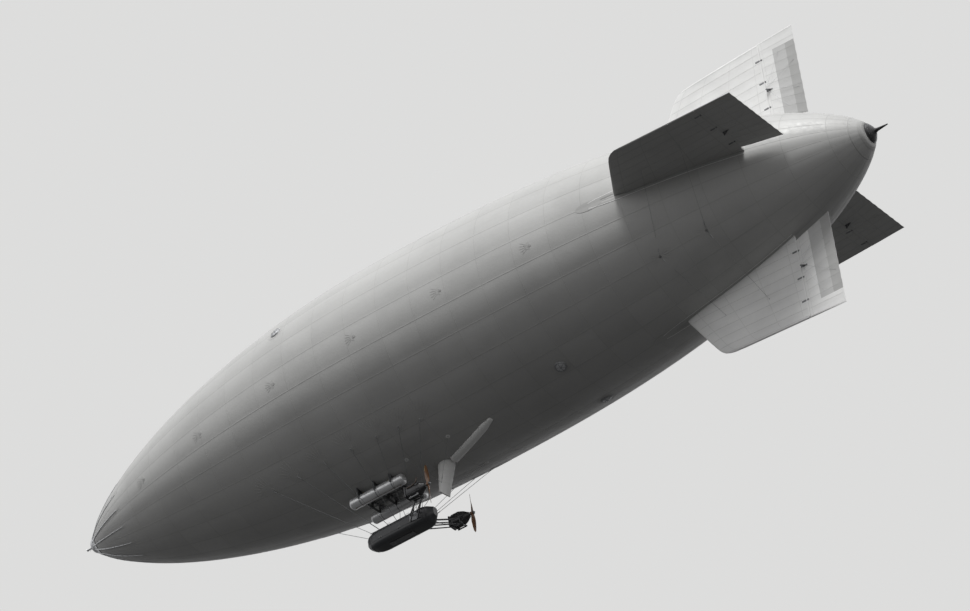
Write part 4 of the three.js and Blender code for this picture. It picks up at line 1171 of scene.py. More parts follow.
def car_ring(s, inset=0.0, n=9):
    w, top, low = car_at(s)
    W, T_, B_ = w - inset, DECK + top - inset, KEEL + low + inset
    rt, rb = min(0.070, W * 0.5), min(0.190, W * 0.8, (T_ - B_) * 0.55)
    pts = []
    for cy, cz, r, a0 in ((W - rt, T_ - rt, rt, 0), (-W + rt, T_ - rt, rt, 90), (-W + rb, B_ + rb, rb, 180), (W - rb, B_ + rb, rb, 270)):
        for i in range(n):
            a = math.radians(a0 + i * 90 / (n - 1))
            pts.append((cy + r * math.cos(a), cz + r * math.sin(a)))
    return pts


def car_rings(inset, e0, e1):
    ss = np.concatenate([np.linspace(9.520, 9.72, 9), np.linspace(9.76, 10.27, 10), np.linspace(10.4, 12.06, 10), np.linspace(12.09, 12.56, 13)])
    out = []
    for i, s in enumerate(ss):
        q = s + (e0 if i == 0 else -e1 if i == len(ss) - 1 else 0)
        out.append([(X(q), y, z) for y, z in car_ring(s, inset)])
    return out


COCKPITS = [("front", 9.985, 10.585, 0.250), ("middle", 10.845, 11.445, 0.250), ("rear", 11.690, 12.210, 0.235)]


def round_rect(s0, s1, half, grow=0.0, r=0.150, n=9):
    cx, Lh = (s0 + s1) / 2, (s1 - s0) / 2 + grow
    w, r = half + grow, r + grow
    pts = []
    for sx, sy, a0 in ((1, 1, 0), (-1, 1, 90), (-1, -1, 180), (1, -1, 270)):
        for i in range(n):
            a = math.radians(a0 + i * 90 / (n - 1))
            pts.append((X(cx) + sx * (Lh - r) + r * math.cos(a), sy * (w - r) + r * math.sin(a)))
    return pts


b = Bag(M["dark"], M["dark_in"])
ro = car_rings(0.0, 0, 0)
# rounded end caps ahead of the bow ring and behind the stern ring
first, last = np.array(ro[0]), np.array(ro[-1])


def shrink(ring, k, dx):
    c = ring.mean(0)
    o = c + (ring - c) * k
    o[:, 0] += dx
    return o


ro = [shrink(first, 0.55, 0.0)] + [shrink(first, 0.9, 0.0)] + ro + [shrink(last, 0.92, 0.0)]
loft(b, ro, 0)
shell = plain(b, "shell")
cb = Bag(M["dark_in"])
loft(cb, car_rings(0.012, 0.012, 0.012), 0)
boolean(shell, plain(cb, "cut_in"))
cb = Bag(M["dark"])
for name, s0, s1, half in COCKPITS:
    rr = round_rect(s0, s1, half)
    loft(cb, [[(x, y, DECK - 0.1) for x, y in rr], [(x, y, DECK + 0.1) for x, y in rr]], 0)
boolean(shell, plain(cb, "cut_holes"))
me = shell.data
V = np.empty(len(me.vertices) * 3)
me.vertices.foreach_get("co", V)
V = V.reshape(-1, 3)
b = Bag(M["dark"], M["dark_in"], M["bright"], M["steel"], M["leather2"], M["brass"])
b.v.append(V)
b.k = len(V)
fn = np.empty(len(me.polygons) * 3)
me.polygons.foreach_get("normal", fn)
fn = fn.reshape(-1, 3)
fc = np.empty(len(me.polygons) * 3)
me.polygons.foreach_get("center", fc)
fc = fc.reshape(-1, 3)
axis_c = np.array([0, 0, (DECK + KEEL) / 2])
for p, n_, c_ in zip(me.polygons, fn, fc):
    b.f.append(tuple(p.vertices))
    out_ = np.dot(n_[1:], c_[1:] - axis_c[1:]) + 0.3 * n_[0] * (c_[0] - X(11.04))
    b.mi.append(0 if out_ > 0 or abs(c_[2] - DECK) < 0.02 and n_[2] > 0.5 else 1)
    b.sm.append(True)
bpy.data.objects.remove(shell)
# joint straps around the body, with rivets
for s in (9.80, 10.72, 11.57, 12.27):
    ring = car_ring(s, 0.0, 9)
    P = np.array([(X(s), y, z) for y, z in ring[17:36] + [ring[0]]])
    rings = []
    for i, p in enumerate(P):
        t = P[min(i + 1, len(P) - 1)] - P[max(i - 1, 0)]
        nn = np.array([0, t[2], -t[1]])
        nn /= np.linalg.norm(nn)
        if np.dot(nn, p - np.array([p[0], 0, -5.45])) < 0:
            nn = -nn
        rings.append([p + np.array([dx, 0, 0]) + nn * e for dx, e in ((-0.018, 0.0005), (-0.015, 0.0035), (0.015, 0.0035), (0.018, 0.0005), (0.012, -0.004), (-0.012, -0.004))])
    loft(b, rings, 0)
    seg = np.linspace(0, len(P) - 1, 40)
    for u in seg:
        i = int(min(u, len(P) - 2))
        f_ = u - i
        p = P[i] * (1 - f_) + P[i + 1] * f_
        t = P[i + 1] - P[i]
        nn = np.array([0, t[2], -t[1]])
        nn /= np.linalg.norm(nn)
        if np.dot(nn, p - np.array([p[0], 0, -5.45])) < 0:
            nn = -nn
        for dx in (-0.008, 0.008):
            dome(b, p + nn * 0.0034 + np.array([dx, 0, 0]), nn, 0.0026, n=6, m=1, mat=0)
# rubbing strake and lower moulding along both sides
for side in (1, -1):
    for z0, r0, m0 in ((DECK - 0.105, 0.011, 3), (KEEL + 0.215, 0.007, 0)):
        P = []
        for s in np.linspace(9.66, 12.40, 60):
            w, top, low = car_at(s)
            P.append((X(s), side * (w + 0.001), z0 + (top if z0 > -5.4 else low * 0.45)))
        tube(b, P, [r0 * min(1, 8 * min(i, 59 - i) / 59 + 0.25) for i in range(60)], 10, m0)
    # foot steps and grab handles
    for s in (10.285, 11.145, 11.62):
        slab(b, (X(s) - 0.060, side * 0.3735, -5.555), (X(s) + 0.060, side * 0.3775, -5.470), 0.0015, 3)
        slab(b, (X(s) - 0.048, side * 0.3745, -5.545), (X(s) + 0.048, side * 0.3790, -5.480), 0.0015, 1)
        slab(b, (X(s) - 0.048, side * 0.374, -5.549), (X(s) + 0.048, side * 0.396, -5.541), 0.0015, 3)
    for s in (10.70, 11.56):
        P = [(X(s) - 0.07, side * 0.335, DECK - 0.006), (X(s) - 0.07, side * 0.340, DECK + 0.032), (X(s) - 0.055, side * 0.341, DECK + 0.042),
             (X(s) + 0.055, side * 0.341, DECK + 0.042), (X(s) + 0.07, side * 0.340, DECK + 0.032), (X(s) + 0.07, side * 0.335, DECK - 0.006)]
        tube(b, P, 0.006, 10, 2)
# deck fittings: towing ring on the bow, filler cap, ventilators
torus(b, (X(9.500), 0, -5.335), (0, 1, 0), 0.022, 0.005, 24, 8, 2)
lathe(b, [(0.0, 0.030), (0.006, 0.030), (0.008, 0.018), (0.018, 0.016), (0.02, 0.0005)], (X(9.535), 0, -5.335), (1, 0, 0), 24, 3)
for s, y in ((9.86, 0.12), (9.86, -0.12)):
    lathe(b, [(-0.004, 0.030), (0.010, 0.030), (0.012, 0.024), (0.030, 0.022), (0.034, 0.040), (0.040, 0.040), (0.046, 0.030), (0.048, 0.001)], (X(s), y, DECK - 0.003), (0, 0, 1), 24, 3)
for s, y in ((10.715, 0.0), (11.565, 0.12)):
    lathe(b, [(-0.004, 0.048), (0.006, 0.048), (0.008, 0.040), (0.016, 0.038), (0.020, 0.030), (0.020, 0.001)], (X(s), y, DECK), (0, 0, 1), 32, 5)
    for k in range(6):
        a = k / 6 * 2 * pi
        dome(b, (X(s) + 0.044 * math.cos(a), y + 0.044 * math.sin(a), DECK + 0.006), (0, 0, 1), 0.003, n=6, m=2, mat=2)
# slatted floor in each cockpit
for name, s0, s1, half in COCKPITS:
    for k in range(7):
        y = -0.15 + 0.05 * k
        slab(b, (X(s1 - 0.31), y - 0.018, KEEL + 0.0125 + (0.014 if s0 < 10.3 else 0.0)), (X(s0 + 0.05), y + 0.018, KEEL + 0.022 + (0.014 if s0 < 10.3 else 0.0)), 0.002, 1)
b.make("car_body", slot="dark_paint", nodes=["car_hull"], sharp=38)

# padded rims
for name, s0, s1, half in COCKPITS:
    b = Bag(M["leather2"])
    base = np.array(round_rect(s0, s1, half, 0.005, n=14))
    P = []
    for i in range(len(base)):
        q = base[(i + 1) % len(base)] - base[i]
        m_ = max(1, int(np.linalg.norm(q) / 0.008))
        P += [base[i] + q * t / m_ for t in range(m_)]
    P = np.array([(x, y, DECK + 0.0125) for x, y in P])
    dist = np.concatenate([[0], np.cumsum(np.linalg.norm(np.diff(P[:, :2], axis=0), axis=1))])
    lace = 0.5 - 0.5 * np.cos(dist / 0.052 * 2 * pi)
    a = np.arange(16) / 16 * 2 * pi
    rings = []
    for i, (T_, U_, W_) in enumerate(frames(P, True)):
        nrm = np.array([0, 0, 1.0])
        side_ = np.cross(T_, nrm)
        k_ = 1 - 0.13 * (1 - lace[i]) ** 3
        rings.append([P[i] + side_ * 0.0128 * k_ * math.cos(q) + nrm * (0.0118 * k_ * math.sin(q)) for q in a])
    loft(b, rings, caps=False, wrap=True)
    # lacing cord over the roll
    for d0 in np.arange(0, dist[-1], 0.052):
        i = int(np.searchsorted(dist, d0)) % len(P)
        T_ = P[(i + 1) % len(P)] - P[i - 1]
        T_ /= np.linalg.norm(T_)
        side_ = np.cross(T_, (0, 0, 1.0))
        Q = [P[i] + side_ * 0.0122 * math.cos(q) + np.array([0, 0, 1]) * 0.0112 * math.sin(q) + T_ * 0.003 * math.cos(q) for q in np.linspace(-0.4, pi + 0.4, 9)]
        tube(b, Q, 0.0016, 5)
    o = b.make(name + "_cockpit_roll", slot="cockpit_leather", nodes=[name + "_cockpit_rim"], sharp=50)


# seats
def pillow(ax, ay, az, n=34, chan=4, seed=1):
    """Crowned cushion centred on the origin, half sizes ax, ay, az; sewn channels along y."""
    r_ = np.random.default_rng(seed)
    us = np.linspace(-1, 1, n)
    pts, F = [], []
    top = np.zeros((n, n), int)
    bot = np.zeros((n, n), int)
    ph = r_.uniform(0, 6.28, 4)
    for i, u in enumerate(us):
        for j, v in enumerate(us):
            # square to rounded square with pulled-in sides
            x = ax * u * (1 - 0.05 * (1 - v * v) * abs(u) ** 6) * (1 - 0.035 * abs(v) ** 8)
            y = ay * v * (1 - 0.05 * (1 - u * u) * abs(v) ** 6) * (1 - 0.035 * abs(u) ** 8)
            e = max(0.0, (1 - abs(u) ** 7) * (1 - abs(v) ** 7)) ** 0.42
            ch = 1 - 0.34 * math.exp(-(((v * chan / 2) % 1.0 - 0.5) / 0.085) ** 2) * (1 - abs(u) ** 8)
            wr = 1 + 0.03 * math.sin(9 * u + ph[0] + 3 * v) * math.sin(7 * v + ph[1])
            crown = 0.80 + 0.20 * (1 - u * u) * (1 - v * v)
            z = az * e * ch * wr * crown
            top[i, j] = len(pts)
            pts.append((x, y, z))
            if i in (0, n - 1) or j in (0, n - 1):
                bot[i, j] = top[i, j]
            else:
                bot[i, j] = len(pts)
                pts.append((x, y, -az * 0.85 * e))
    for i in range(n - 1):
        for j in range(n - 1):
            F.append((top[i, j], top[i + 1, j], top[i + 1, j + 1], top[i, j + 1]))
            F.append((bot[i, j], bot[i, j + 1], bot[i + 1, j + 1], bot[i + 1, j]))
    F = [f for f in F if len(set(f)) == 4]
    return np.array(pts), F


def puff(V, F, ax, ay, az, chan, pressure=4.0, cap=0.014, frames_=18):
    """Cloth under pressure on a remeshed copy, held along its edge and its sewn channels; returns the swelled mesh."""
    me = bpy.data.meshes.new("puff")
    me.from_pydata(V.tolist(), [], F)
    me.update()
    o = bpy.data.objects.new("puff", me)
    scene.collection.objects.link(o)
    rm = o.modifiers.new("rm", "REMESH")
    rm.mode = "VOXEL"
    rm.voxel_size = 0.0054
    dg = bpy.context.evaluated_depsgraph_get()
    m2 = bpy.data.meshes.new_from_object(o.evaluated_get(dg))
    o.modifiers.clear()
    o.data = m2
    rest = np.empty(len(m2.vertices) * 3)
    m2.vertices.foreach_get("co", rest)
    pin = o.vertex_groups.new(name="sewn")
    for i, (x, y, z) in enumerate(rest.reshape(-1, 3)):
        u, v = x / ax, y / ay
        line = abs((v * chan / 2) % 1.0 - 0.5) * 2 * ay / chan
        if line < 0.0042 or (abs(z) < az * 0.22 and max(abs(u), abs(v)) > 0.93) or z < -az * 0.5:
            pin.add([i], 1.0, "REPLACE")
    cl = o.modifiers.new("cloth", "CLOTH")
    cl.settings.vertex_group_mass = "sewn"
    cl.settings.quality = 5
    cl.settings.mass = 0.2
    cl.settings.tension_stiffness = 18
    cl.settings.compression_stiffness = 12
    cl.settings.shear_stiffness = 8
    cl.settings.bending_stiffness = 0.4
    cl.settings.use_pressure = True
    cl.settings.uniform_pressure_force = pressure
    cl.settings.effector_weights.gravity = 0
    cl.collision_settings.use_collision = False
    for fr in range(1, frames_ + 1):
        scene.frame_set(fr)
    dg = bpy.context.evaluated_depsgraph_get()
    m3 = bpy.data.meshes.new_from_object(o.evaluated_get(dg))
    out = np.empty(len(m3.vertices) * 3)
    m3.vertices.foreach_get("co", out)
    rest, out = rest.reshape(-1, 3), out.reshape(-1, 3)
    d = out - rest
    ln = np.linalg.norm(d, axis=1)[:, None] + 1e-9
    out = rest + d * np.minimum(1, cap / ln)
    Fn = [tuple(p.vertices) for p in m3.polygons]
    bpy.data.objects.remove(o)
    scene.frame_set(1)
    return out, Fn


def channels(V, ax, ay, chan, depth=0.0075):
    """Presses the sewn channels into the swelled top; returns the cushion and the stitch lines."""
    V = V.copy()
    v = V[:, 1] / ay
    line = np.abs((v * chan / 2) % 1.0 - 0.5) * 2 * ay / chan
    ends = 1 - np.clip(np.abs(V[:, 0]) / ax, 0, 1) ** 8
    top = V[:, 2] > 0.004
    V[:, 2] -= np.where(top, depth * np.exp(-(line / 0.0060) ** 2) * ends, 0)
    V[:, 2] += np.where(top, 0.0035 * np.clip(np.sin(pi * np.clip(line / (ay / chan), 0, 1)), 0, 1) * ends, 0)
    lines = []
    for m in range(-chan, chan + 1):
        y = (2 * m + 1) / chan * ay
        if abs(y) < 0.9 * ay:
            P = []
            for x in np.linspace(-0.93 * ax, 0.93 * ax, 34):
                d = (V[:, 0] - x) ** 2 + (V[:, 1] - y) ** 2 + np.where(top, 0, 1.0)
                P.append((x, y, float(V[np.argmin(d), 2]) + 0.0006))
            lines.append(np.array(P))
    return V, lines


FLOOR = KEEL + 0.012
for name, s0, s1, half in COCKPITS:
    w = half - 0.060
    sb, sf = s1 - 0.030, s1 - 0.280          # rear and front of the seat box
    b = Bag(M["wood"], M["leather"], M["steel"], M["leather2"])
    z0, z1 = FLOOR + 0.0005, FLOOR + 0.112
    lift = 0.012 if name != "middle" else 0.0
    for y in (-1, 1):
        slab(b, (X(sb), y * (w - 0.018), z0 + lift), (X(sf), y * w, z1), 0.003, 0)
        for q in (0.05, 0.12, 0.2):
            dome(b, (X(sf + q), y * w, z1 - 0.02), (0, y, 0), 0.004, n=8, m=2, mat=2)
    slab(b, (X(sf + 0.016), -w + 0.018, z0 + lift + 0.02), (X(sf), w - 0.018, z1), 0.003, 0)
    slab(b, (X(sb), -w, z1), (X(sf) + 0.004, w, z1 + 0.010), 0.003, 0)
    # backrest board, leaning
    lean = 0.04 / 0.33
    zb0, zb1 = FLOOR + 0.15, FLOOR + 0.475
    rr = []
    for q in np.linspace(0, 1, 6):
        z = zb0 + (zb1 - zb0) * q
        xb = X(sb) - lean * (z - zb0) + 0.0
        wq = w * (1 - 0.05 * q) - 0.002
        rr.append([(xb + 0.001, -wq, z), (xb + 0.013, -wq, z), (xb + 0.013, wq, z), (xb + 0.001, wq, z)])
    loft(b, rr, 0, False)
    o = b.make(name + "_seat_frame", slot="varnished_wood")
    b = Bag(M["leather"], M["leather2"])
    V, F = pillow(0.112, w - 0.010, 0.032, n=60, chan=4, seed=3)
    V, F = puff(V, F, 0.112, w - 0.010, 0.032, 4)
    V, sewn = channels(V, 0.112, w - 0.010, 4)
    ctr = np.array([X((sf + sb) / 2) + 0.006, 0, z1 + 0.010 + 0.030])
    b.add(V + ctr, F, 0)
    for line in sewn:
        for i in range(0, len(line) - 1, 2):
            rod(b, line[i] + ctr, line[i + 1] + ctr, 0.0013, sides=6, mat=1)
    # piping round the cushion
    n_ = 80
    P = []
    for i in range(n_):
        a = i / n_ * 2 * pi
        c_, s_ = math.cos(a), math.sin(a)
        e = 0.22
        P.append((X((sf + sb) / 2) + 0.006 + 0.1105 * math.copysign(abs(c_) ** e, c_), (w - 0.0125) * math.copysign(abs(s_) ** e, s_), z1 + 0.040))
    tube(b, P, 0.0032, 8, 1, True)
    cush = b.make(name + "_seat_cushion", slot="cockpit_leather", nodes=[name + "_seat"], sharp=0)
    b = Bag(M["leather"], M["leather2"])
    V, F = pillow(0.145, w - 0.022, 0.021, n=60, chan=5, seed=5)
    V, F = puff(V, F, 0.145, w - 0.022, 0.021, 5)
    V, sewn = channels(V, 0.145, w - 0.022, 5, 0.006)
    Rm = Matrix.Rotation(math.radians(90) - math.atan(lean), 3, "Y")
    V2 = V @ np.array(Rm).T
    ctr = np.array([X(sb) - lean * 0.18 + 0.036, 0, zb0 + 0.175])
    b.add(V2 + ctr, F, 0)
    for line in sewn:
        line = line @ np.array(Rm).T + ctr
        for i in range(0, len(line) - 1, 2):
            rod(b, line[i], line[i + 1], 0.0013, sides=6, mat=1)
    P2 = []
    for i in range(n_):
        a = i / n_ * 2 * pi
        c_, s_ = math.cos(a), math.sin(a)
        P2.append((0.143 * math.copysign(abs(c_) ** 0.22, c_), (w - 0.025) * math.copysign(abs(s_) ** 0.22, s_), 0.0))
    P2 = np.array(P2) @ np.array(Rm).T + ctr
    tube(b, P2, 0.003, 8, 1, True)
    cush = b.make(name + "_back_cushion", slot="cockpit_leather", sharp=0)

# windscreens: bent pane in a frame
for name, s0, s1, half in COCKPITS:
    H, T_ = 0.150, 0.005
    rings, top_e, bot_e = [], [], []
    for k in np.linspace(0, 8, 41):
        a = (k / 8 - 0.5) * 1.9
        y = math.sin(a) * 0.25
        s = s0 - 0.040 + (1 - math.cos(a)) * 0.15
        h = H - abs(k - 4) * 0.009 * (1 if abs(k - 4) > 0.6 else abs(k - 4) / 0.6) - (0.012 * max(0, (abs(k - 4) - 3.5) / 0.5))
        base_z = DECK + 0.004 if s < s0 - 0.026 else DECK + 0.029
        rings.append([(X(s + 0.001), y, base_z), (X(s - T_), y, base_z), (X(s + 0.034 - T_), y * 0.951, DECK + h - 0.004), (X(s + 0.035), y * 0.951, DECK + h - 0.004)])
        top_e.append((X(s + 0.033), y * 0.951, DECK + h - 0.004))
        bot_e.append((X(s - 0.002), y, base_z))
    b = Bag(M["glass"])
    loft(b, rings, 0)
    b.make(name + "_windscreen_pane", slot="screen_glass", nodes=[name + "_windscreen"])
    b = Bag(M["bright"], M["dark"])
    tube(b, top_e, 0.0045, 8, 0)
    tube(b, bot_e, 0.0048, 8, 1)
    rod(b, bot_e[0], top_e[0], 0.0045, sides=10)
    rod(b, bot_e[-1], top_e[-1], 0.0045, sides=10)
    for i in (10, 20, 30):
        rod(b, bot_e[i], top_e[i], 0.0035, sides=8)
        dome(b, np.array(bot_e[i]) - np.array([0, 0, 0.003]), (0, 0, 1), 0.011, 0.005, 10, 2, 0)
    b.make(name + "_windscreen_frame", slot="steel_fittings")

# instrument panel and hand wheels
b = Bag(M["wood"], M["dial"], M["brass"], M["white"], M["bright"])
xp = X(9.989)
pts = []
for q in np.linspace(0, 2 * pi, 56, endpoint=False):
    c_, s_ = math.cos(q), math.sin(q)
    pts.append((0.212 * math.copysign(abs(c_) ** 0.25, c_), -5.276 + 0.121 * math.copysign(abs(s_) ** 0.25, s_)))
loft(b, [[(xp + 0.0135, y, z) for y, z in pts], [(xp + 0.002, y, z) for y, z in pts], [(xp + 0.0005, y * 0.985, -5.276 + (z + 5.276) * 0.985) for y, z in pts]], 0)
for y, z, r in ((-0.145, -5.225, 0.034), (-0.055, -5.215, 0.030), (0.055, -5.215, 0.030), (0.145, -5.225, 0.034), (-0.150, -5.325, 0.026), (0.150, -5.325, 0.026), (-0.085, -5.300, 0.020), (0.085, -5.300, 0.020)):
    c_ = (xp + 0.001, y, z)
    lathe(b, [(-0.001, r), (0.006, r), (0.008, r * 0.94), (0.008, r * 0.86), (0.004, r * 0.84)], c_, (-1, 0, 0), 28, 2, wrap=True)
    lathe(b, [(-0.001, r * 0.86), (0.0045, r * 0.86), (0.0045, 0.0003)], c_, (-1, 0, 0), 28, 1)
    for k in range(11):
        a = math.radians(-130 + 26 * k)
        p = np.array([xp - 0.0038, y + math.sin(a) * r * 0.70, z + math.cos(a) * r * 0.70])
        q = np.array([xp - 0.0038, y + math.sin(a) * r * 0.80, z + math.cos(a) * r * 0.80])
        rod(b, p, q, 0.0007, sides=4, mat=3)
    a = math.radians(-90 + 230 * ((abs(y) * 37 + abs(z) * 11) % 1))
    rod(b, (xp - 0.0046, y, z), (xp - 0.0046, y + math.sin(a) * r * 0.62, z + math.cos(a) * r * 0.62), 0.0012, 0.0004, 6, 3)
    dome(b, (xp - 0.0042, y, z), (-1, 0, 0), 0.003, n=10, m=2, mat=2)
for k in range(5):
    y = -0.04 + 0.02 * k
    lathe(b, [(0, 0.0055), (0.003, 0.0055), (0.003, 0.003), (0.012, 0.0022), (0.014, 0.0035), (0.018, 0.0005)], (xp + 0.001, y, -5.365), (-1, 0, 0), 12, 4)
b.make("instrument_board", slot="varnished_wood", nodes=["instrument_panel"])


def hand_wheel(name, c, ax, rad, up, hub_from, hub_to, spokes, nodes):
    b = Bag(M["wood"], M["bright"], M["brass"])
    torus(b, c, ax, rad, 0.0088, 64, 14, 0)
    x_, y_, z_ = basis(ax)
    c = np.array(c, float)
    for k in range(spokes):
        a = k / spokes * 2 * pi
        d = np.array(up) * math.cos(a) + np.cross(np.array(ax, float), up) * math.sin(a)
        tube(b, [c + d * 0.010, c + d * rad * 0.35, c + d * rad * 0.7, c + d * (rad - 0.004)], [0.0062, 0.0052, 0.0046, 0.0056], 10, 1)
    rod(b, hub_from, hub_to, 0.0125, sides=24, mat=1)
    lathe(b, [(-0.012, 0.001), (-0.012, 0.020), (-0.008, 0.024), (0.008, 0.024), (0.012, 0.020), (0.012, 0.001)], c, ax, 32, 2)
    b.make(name, slot="varnished_wood", nodes=nodes)


cz = DECK - 0.235
hand_wheel("rudder_hand_wheel", (X(9.975 + 0.128), 0, cz), (1, 0, 0), 0.115, (0, 0, 1), (X(9.9895), 0, cz), (X(9.975 + 0.122), 0, cz), 3, ["rudder_wheel"])
hand_wheel("elevator_hand_wheel", (X(10.190), 0.300, -5.385), (0, 1, 0), 0.105, (0, 0, 1), (X(10.190), 0.290, -5.385), (X(10.190), 0.3445, -5.385), 3, ["elevator_wheel"])

# keel plate
b = Bag(M["steel"], M["bright"])
slab(b, (X(11.560), -0.110, KEEL - 0.026), (X(10.480), 0.110, KEEL - 0.0003), 0.004, 0)
for y in (-0.095, 0.095):
    for s in np.linspace(10.53, 11.51, 15):
        dome(b, (X(s), y, KEEL - 0.0255), (0, 0, -1), 0.0065, 0.0026, 10, 2, 1)
for s in (10.66, 11.38):
    torus(b, (X(s), 0, KEEL - 0.0265), (0, 0, 1), 0.030, 0.0035, 28, 8, 1)
b.make("keel_plate_bolted", slot="steel_fittings", nodes=["keel_plate"])
PLACE = None
# ------------------------------------------------------------------ outriggers, engines, propellers
NAC = np.array([(11.880, 0.150, 0.175), (11.930, 0.178, 0.205), (12.120, 0.192, 0.222), (12.420, 0.190, 0.218),
                (12.650, 0.150, 0.170), (12.840, 0.092, 0.096), (12.905, 0.074, 0.076)])


def nac_half(s):
    smooth = catmull(NAC, np.array([s]))[0]
    w, h = float(smooth[0]), float(smooth[1])
    return min(w, 0.193), min(h, 0.2225)


def channel(bag, a, b, up, w, h, t, mat):
    """U section from a to b, open along -up."""
    a, b, up = (np.asarray(v, float) for v in (a, b, up))
    d = (b - a) / np.linalg.norm(b - a)
    sd = np.cross(d, up)
    prof = [(-w / 2, -h), (-w / 2 + t, -h), (-w / 2 + t, -t), (w / 2 - t, -t), (w / 2 - t, -h), (w / 2, -h), (w / 2, 0), (-w / 2, 0)]
    loft(bag, [[p + sd * x + up * y for x, y in prof] for p in (a, b)], mat, False)


for side, k in (("port", 1), ("starboard", -1)):
    yc, zc = ENG_OUT, ENG_Z

    def S(s):
        """The cowl is drawn long, then shortened: this gives the true station."""
        return 12.360 + (s - 11.880) * 0.62

    def P(s, y, z):
        return np.array([X(S(s)), k * y, z], float)

    def Q(s, y, z):
        return np.array([X(s), k * y, z], float)

    def nac_pt(s, a, off=0.0):
        """Point on the cowl; a runs from the outer side upwards."""
        w, h = nac_half(s)
        c, q = math.cos(a), math.sin(a)
        y = math.copysign(abs(c) ** 0.72, c) * w
        z = math.copysign(abs(q) ** 0.72, q) * h
        n = np.array([y / (w * w), z / (h * h)])
        n /= np.linalg.norm(n)
        return P(s, yc + y + off * n[0], zc + z + off * n[1])

    def nac_n(s, a):
        d = nac_pt(s, a, 0.01) - nac_pt(s, a, 0)
        e = nac_pt(s + 0.01, a) - nac_pt(s - 0.01, a)
        e /= np.linalg.norm(e)
        d -= e * np.dot(d, e)
        return d / np.linalg.norm(d)

    # ---- cowl
    b = Bag(M["black"], M["steel"], M["bright"], M["brass"], M["alloy_dull"])
    A = np.arange(72) / 72 * 2 * pi
    ss = np.concatenate([np.linspace(11.880, 11.93, 6), np.linspace(11.95, 12.86, 40), np.linspace(12.87, 12.905, 5)])
    rings = [[nac_pt(s, a) for a in A] for s in ss]
    r0 = np.array(rings[0])
    c0 = r0.mean(0)
    rings = [c0 + (r0 - c0) * 0.90] + rings
    r1 = np.array(rings[-1])
    c1 = r1.mean(0)
    rings.append(c1 + (r1 - c1) * 0.86)
    loft(b, rings, 0)
    # straps with fasteners over the joints of the cowl
    for s in (11.945, 12.225, 12.455, 12.690):
        rr = []
        for a in A:
            rr.append([nac_pt(s + ds, a, e) for ds, e in ((-0.012, 0.0004), (-0.009, 0.0026), (0.009, 0.0026), (0.012, 0.0004), (0.007, -0.005), (-0.007, -0.005))])
        loft(b, rr, 0, caps=False, wrap=True)
        for i in range(26):
            a = (i + 0.5) / 26 * 2 * pi
            dome(b, nac_pt(s, a, 0.0024), nac_n(s, a), 0.0036, n=8, m=2, mat=1)
    # hinge along the top, joints along the sides
    for a, w_, m_ in ((pi / 2, 0.006, 2), (math.radians(22), 0.004, 0), (math.radians(158), 0.004, 0), (math.radians(-38), 0.004, 0), (math.radians(218), 0.004, 0)):
        for s0, s1 in ((11.962, 12.212), (12.238, 12.442), (12.468, 12.676)):
            if m_ == 2:
                for t in np.arange(s0 + 0.006, s1 - 0.006, 0.018):
                    rod(b, nac_pt(t, a, 0.002), nac_pt(t + 0.016, a, 0.002), 0.0042, sides=8, mat=2)
            else:
                tube(b, [nac_pt(t, a, 0.0) for t in np.linspace(s0, s1, 10)], w_ * 0.7, 6, 0)
                for t in np.linspace(s0 + 0.03, s1 - 0.03, 4):
                    dome(b, nac_pt(t, a + 0.05, 0.0), nac_n(t, a + 0.05), 0.006, 0.003, 10, 2, 2)
    # pressed louvres in the upper doors and in the side panels
    def louvre(s, a0, a1, ln):
        rr = []
        for a in np.linspace(a0, a1, 9):
            q = math.sin(pi * (a - a0) / (a1 - a0)) ** 0.5 if a0 < a < a1 else 0.02
            rr.append([nac_pt(s - ln / 2, a, -0.003), nac_pt(s - ln / 2, a, 0.0002), nac_pt(s - ln * 0.1, a, 0.0045 * q), nac_pt(s + ln * 0.40, a, 0.0095 * q + 0.0003),
                       nac_pt(s + ln * 0.5, a, 0.0090 * q + 0.0002), nac_pt(s + ln * 0.46, a, -0.003)])
        loft(b, rr, 0)
    for a0, a1 in ((math.radians(34), math.radians(64)), (math.radians(116), math.radians(146))):
        for s in np.arange(11.995, 12.205, 0.026):
            louvre(s, a0, a1, 0.019)
        for s in np.arange(12.262, 12.440, 0.026):
            louvre(s, a0, a1, 0.019)
    for a0, a1 in ((math.radians(-28), math.radians(-6)), (math.radians(186), math.radians(208))):
        for s in np.arange(12.500, 12.66, 0.026):
            louvre(s, a0, a1, 0.019)
    # filler, breather, rear bearing ring, handles
    lathe(b, [(-0.004, 0.026), (0.008, 0.026), (0.010, 0.022), (0.016, 0.022), (0.020, 0.016), (0.020, 0.001)], nac_pt(12.340, math.radians(82)), nac_n(12.340, math.radians(82)), 28, 3)
    tube(b, [nac_pt(12.57, math.radians(75), -0.01), nac_pt(12.57, math.radians(75), 0.030), nac_pt(12.585, math.radians(75), 0.045), nac_pt(12.62, math.radians(75), 0.050)], 0.009, 12, 1)
    lathe(b, [(0.0, 0.064), (0.004, 0.066), (0.009, 0.064), (0.011, 0.056), (0.011, 0.0275), (0.002, 0.0275)], P(12.9045, yc, zc), (-1, 0, 0), 48, 1, wrap=True)
    for i in range(8):
        a = i / 8 * 2 * pi
        bolt(b, P(12.9045, yc + 0.047 * math.cos(a), zc + 0.047 * math.sin(a)) - np.array([0.009, 0, 0]), (-1, 0, 0), 0.0042, 0.006, 2)
    for s in (12.09, 12.35):
        for a in (math.radians(30), math.radians(150)):
            q = [nac_pt(s - 0.03, a, -0.002), nac_pt(s - 0.03, a, 0.014), nac_pt(s - 0.022, a, 0.019), nac_pt(s + 0.022, a, 0.019), nac_pt(s + 0.03, a, 0.014), nac_pt(s + 0.03, a, -0.002)]
            tube(b, q, 0.0036, 8, 2)
